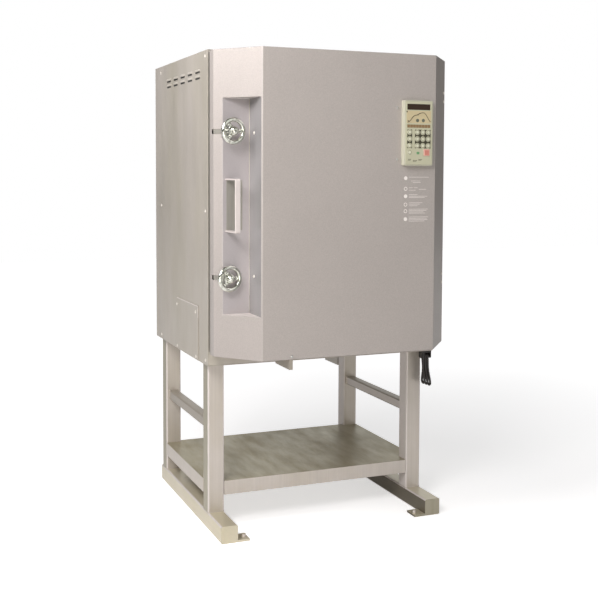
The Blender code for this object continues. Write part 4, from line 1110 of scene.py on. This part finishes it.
# Each row, in millimetres: height, whether its dot is filled, and its rules as (start, end, rise).
GUIDE = (
    (1039.4, True, ((182, 247, 3), (188, 218, -8), (194, 220, -12.5))),
    (1008.8, False, ((182, 194, 3), (198, 210, 3), (214, 238, -1.5), (182, 204, -4))),
    (987.3, True, ((182, 210, 4.5), (182, 242, 0), (182, 234, -3.5))),
    (963.3, False, ((182, 226, 5), (182, 218, 1), (182, 210, -3.5))),
    (944.3, False, ((182, 244, 5.5), (182, 240, 1.5), (182, 230, -2.5), (182, 236, -6))),
    (921.3, True, ((182, 246, 6), (182, 242, 2), (182, 244, -2), (182, 234, -6))),
)


def make_prints():
    """Plain printed graphics: a heating curve, lamps, a strip of fields, dots and rules."""
    face = OVERLAY_FRONT
    print_plates("curve_field", "tan", [(0.1622, 0.2412, 1.1962, 1.232)], 0.0012, 3, 0.0001)
    ink = tube(bmesh.new(), [(x, face - 0.0002, z) for x, z in thousandths(*CURVE)], 0.00085, 8)
    for x, z in ((0.1668, 1.203), (0.1985, 1.2205)):
        disc(ink, (x, face, z), FRONT, pin_profile(0.0016, 0, 0.0003), 16)
    for x, z, wide in ((0.1723, 1.0935, 0.01), (0.19, 1.0905, 0.014), (0.207, 1.0935, 0.012)):
        for end, bottom, top in ((wide / 2, -0.0006, 0.0006), (wide / 3, -0.0034, -0.0024)):
            box(ink, (x - wide / 2, face - 0.00015, z + bottom), (x + end, face + 0.0001, z + top))
    piece("keypad_lines", ink, "ink", *PLASTIC)
    print_plates("power_mark", "ink", [(0.1612, 0.1648, 1.2268, 1.2315)], 0.0008, 3, 0.0003)
    lamps = bmesh.new()
    lens = thousandths((0, 0), (5, 0), (4.9, 0.4), (3.8, 0.7), (2, 0.9), (0, 1))
    for x, z in ((0.1969, 1.2043), (0.2157, 1.2046)):
        disc(lamps, (x, face, z), FRONT, lens, 28)
    piece("lamps", lamps, "lamp", *PLASTIC)
    starts = [0.164 + index * 0.00945 for index in range(8)]
    print_plates("field_strip", "strip", [(x, x + 0.0088, 1.1837, 1.1927) for x in starts], 0.0008, 3, 0.0003)
    print_plates("green_field", "green", [(0.195, 0.204, 1.1078, 1.115)], 0.0016, 4, 0.0004)
    bullets, fine = bmesh.new(), bmesh.new()
    thin, half = 0.0001, 0.00055
    for z, filled, lines in GUIDE:
        inner, outer = 0.0 if filled else 0.0038, 0.0056
        profile = [(inner, 0), (outer, 0), (outer, thin), (inner, thin)]
        disc(bullets, (0.1712, DOOR_FRONT, z / 1000), FRONT, profile, 28)
        for x0, x1, level in thousandths(*((x0, x1, z + rise) for x0, x1, rise in lines)):
            box(fine, (x0, DOOR_FRONT - thin, level - half), (x1, DOOR_FRONT + thin, level + half))
    piece("guide_bullets", bullets, "print", "door", "door_paint")
    piece("guide_rules", fine, "print_soft", "door", "door_paint")


# ---- stage


def lift_floor(surface):
    """White to the camera all round, with the object's shadow kept near it."""
    coords = surface.node("TexCoord").outputs["Object"]
    reach = surface.node("VectorMath", {0: coords}, operation="LENGTH").outputs["Value"]
    levels = {"Value": reach, "From Min": 0.9, "From Max": 3.0, "To Min": 0.56, "To Max": 0.84}
    level = surface.node("MapRange", levels).outputs["Result"]
    tree = surface.tree
    seen, glossy = seen_share(tree)
    strength = reckon(tree, "MULTIPLY", level, reckon(tree, "MULTIPLY_ADD", glossy, 0.5, seen))
    surface.inputs["Emission Color"].default_value = WHITE
    tree.links.new(strength, surface.inputs["Emission Strength"])


def make_floor():
    reach = 9
    corners = [(-reach, -reach, 0), (reach, -reach, 0), (reach, reach, 0), (-reach, reach, 0)]
    mesh = bpy.data.meshes.new("floor")
    mesh.from_pydata(corners, [], [(0, 1, 2, 3)])
    floor = add_object("floor", mesh)
    surface = Surface("white_floor", (0.86, 0.85, 0.84, 1), 0.9, sockets={"Specular IOR Level": 0.1})
    surface.mottle(2.0, 0.98, 0.5)
    lift_floor(surface)
    mesh.materials.append(surface.material)
    floor.location.z = -0.0004


def make_world():
    """White to the camera, an even fill on the object, and soft patches in what shines."""
    world = bpy.data.worlds.new("studio")
    bpy.context.scene.world = world
    world.use_nodes = True
    tree = world.node_tree
    tree.nodes.clear()
    coords = add_node(tree, "TexCoord").outputs["Generated"]
    patches = add_node(tree, "TexNoise", {"Vector": coords, "Scale": 1.7, "Detail": 1.0})
    bands = add_node(tree, "ValToRGB", {"Fac": patches.outputs["Fac"]})
    ramp_colours(bands, (0.44, (0.03, 0.03, 0.025, 1)), (0.56, (0.92, 0.92, 0.9, 1)))
    lights = [
        add_node(tree, "Background", {"Color": colour, "Strength": strength}).outputs["Background"]
        for colour, strength in (((0.98, 0.98, 1.0, 1), 0.27), (bands.outputs["Color"], 1.0), (WHITE, 1.0))
    ]
    seen, glossy = seen_share(tree)
    lit = add_node(tree, "MixShader", {"Fac": glossy, 1: lights[0], 2: lights[1]}).outputs["Shader"]
    shown = add_node(tree, "MixShader", {"Fac": seen, 1: lit, 2: lights[2]}).outputs["Shader"]
    add_node(tree, "OutputWorld", {"Surface": shown})


def make_lamps():
    middle, low = (-0.05, -0.15, 0.9), (0, 0, 0.4)
    for name, place, target, size, power, colour in (
        ("left_near", (-1.5, -0.62, 2.1), (-0.2, 0.0, 1.1), 0.8, 22, (1.0, 0.975, 0.985)),
        ("front_near", (-1.7, -2.0, 2.2), middle, 1.0, 42, (1.0, 0.985, 1.0)),
        ("low_front", (-1.0, -3.4, 0.5), low, 1.2, 23, (1.0, 0.965, 0.91)),
    ):
        data = bpy.data.lights.new(name, "AREA")
        data.shape = "RECTANGLE"
        data.size = data.size_y = size
        data.energy = power
        data.color = colour
        turn = (Vector(target) - Vector(place)).to_track_quat("-Z", "Y").to_matrix().to_4x4()
        add_object(name, data).matrix_world = Matrix.Translation(place) @ turn


make_camera()
make_cord()
make_cabinet()
make_elements()
make_stand()
make_door()
make_hinges()
for clamp, (clamp_height, clamp_standoff) in CLAMPS.items():
    make_wheel(clamp, clamp_height, clamp_standoff)
    make_spindle(clamp, clamp_height, clamp_standoff)
make_handle()
make_controller()
make_floor()
make_world()
make_lamps()
bpy.context.scene.view_settings.view_transform = "Standard"
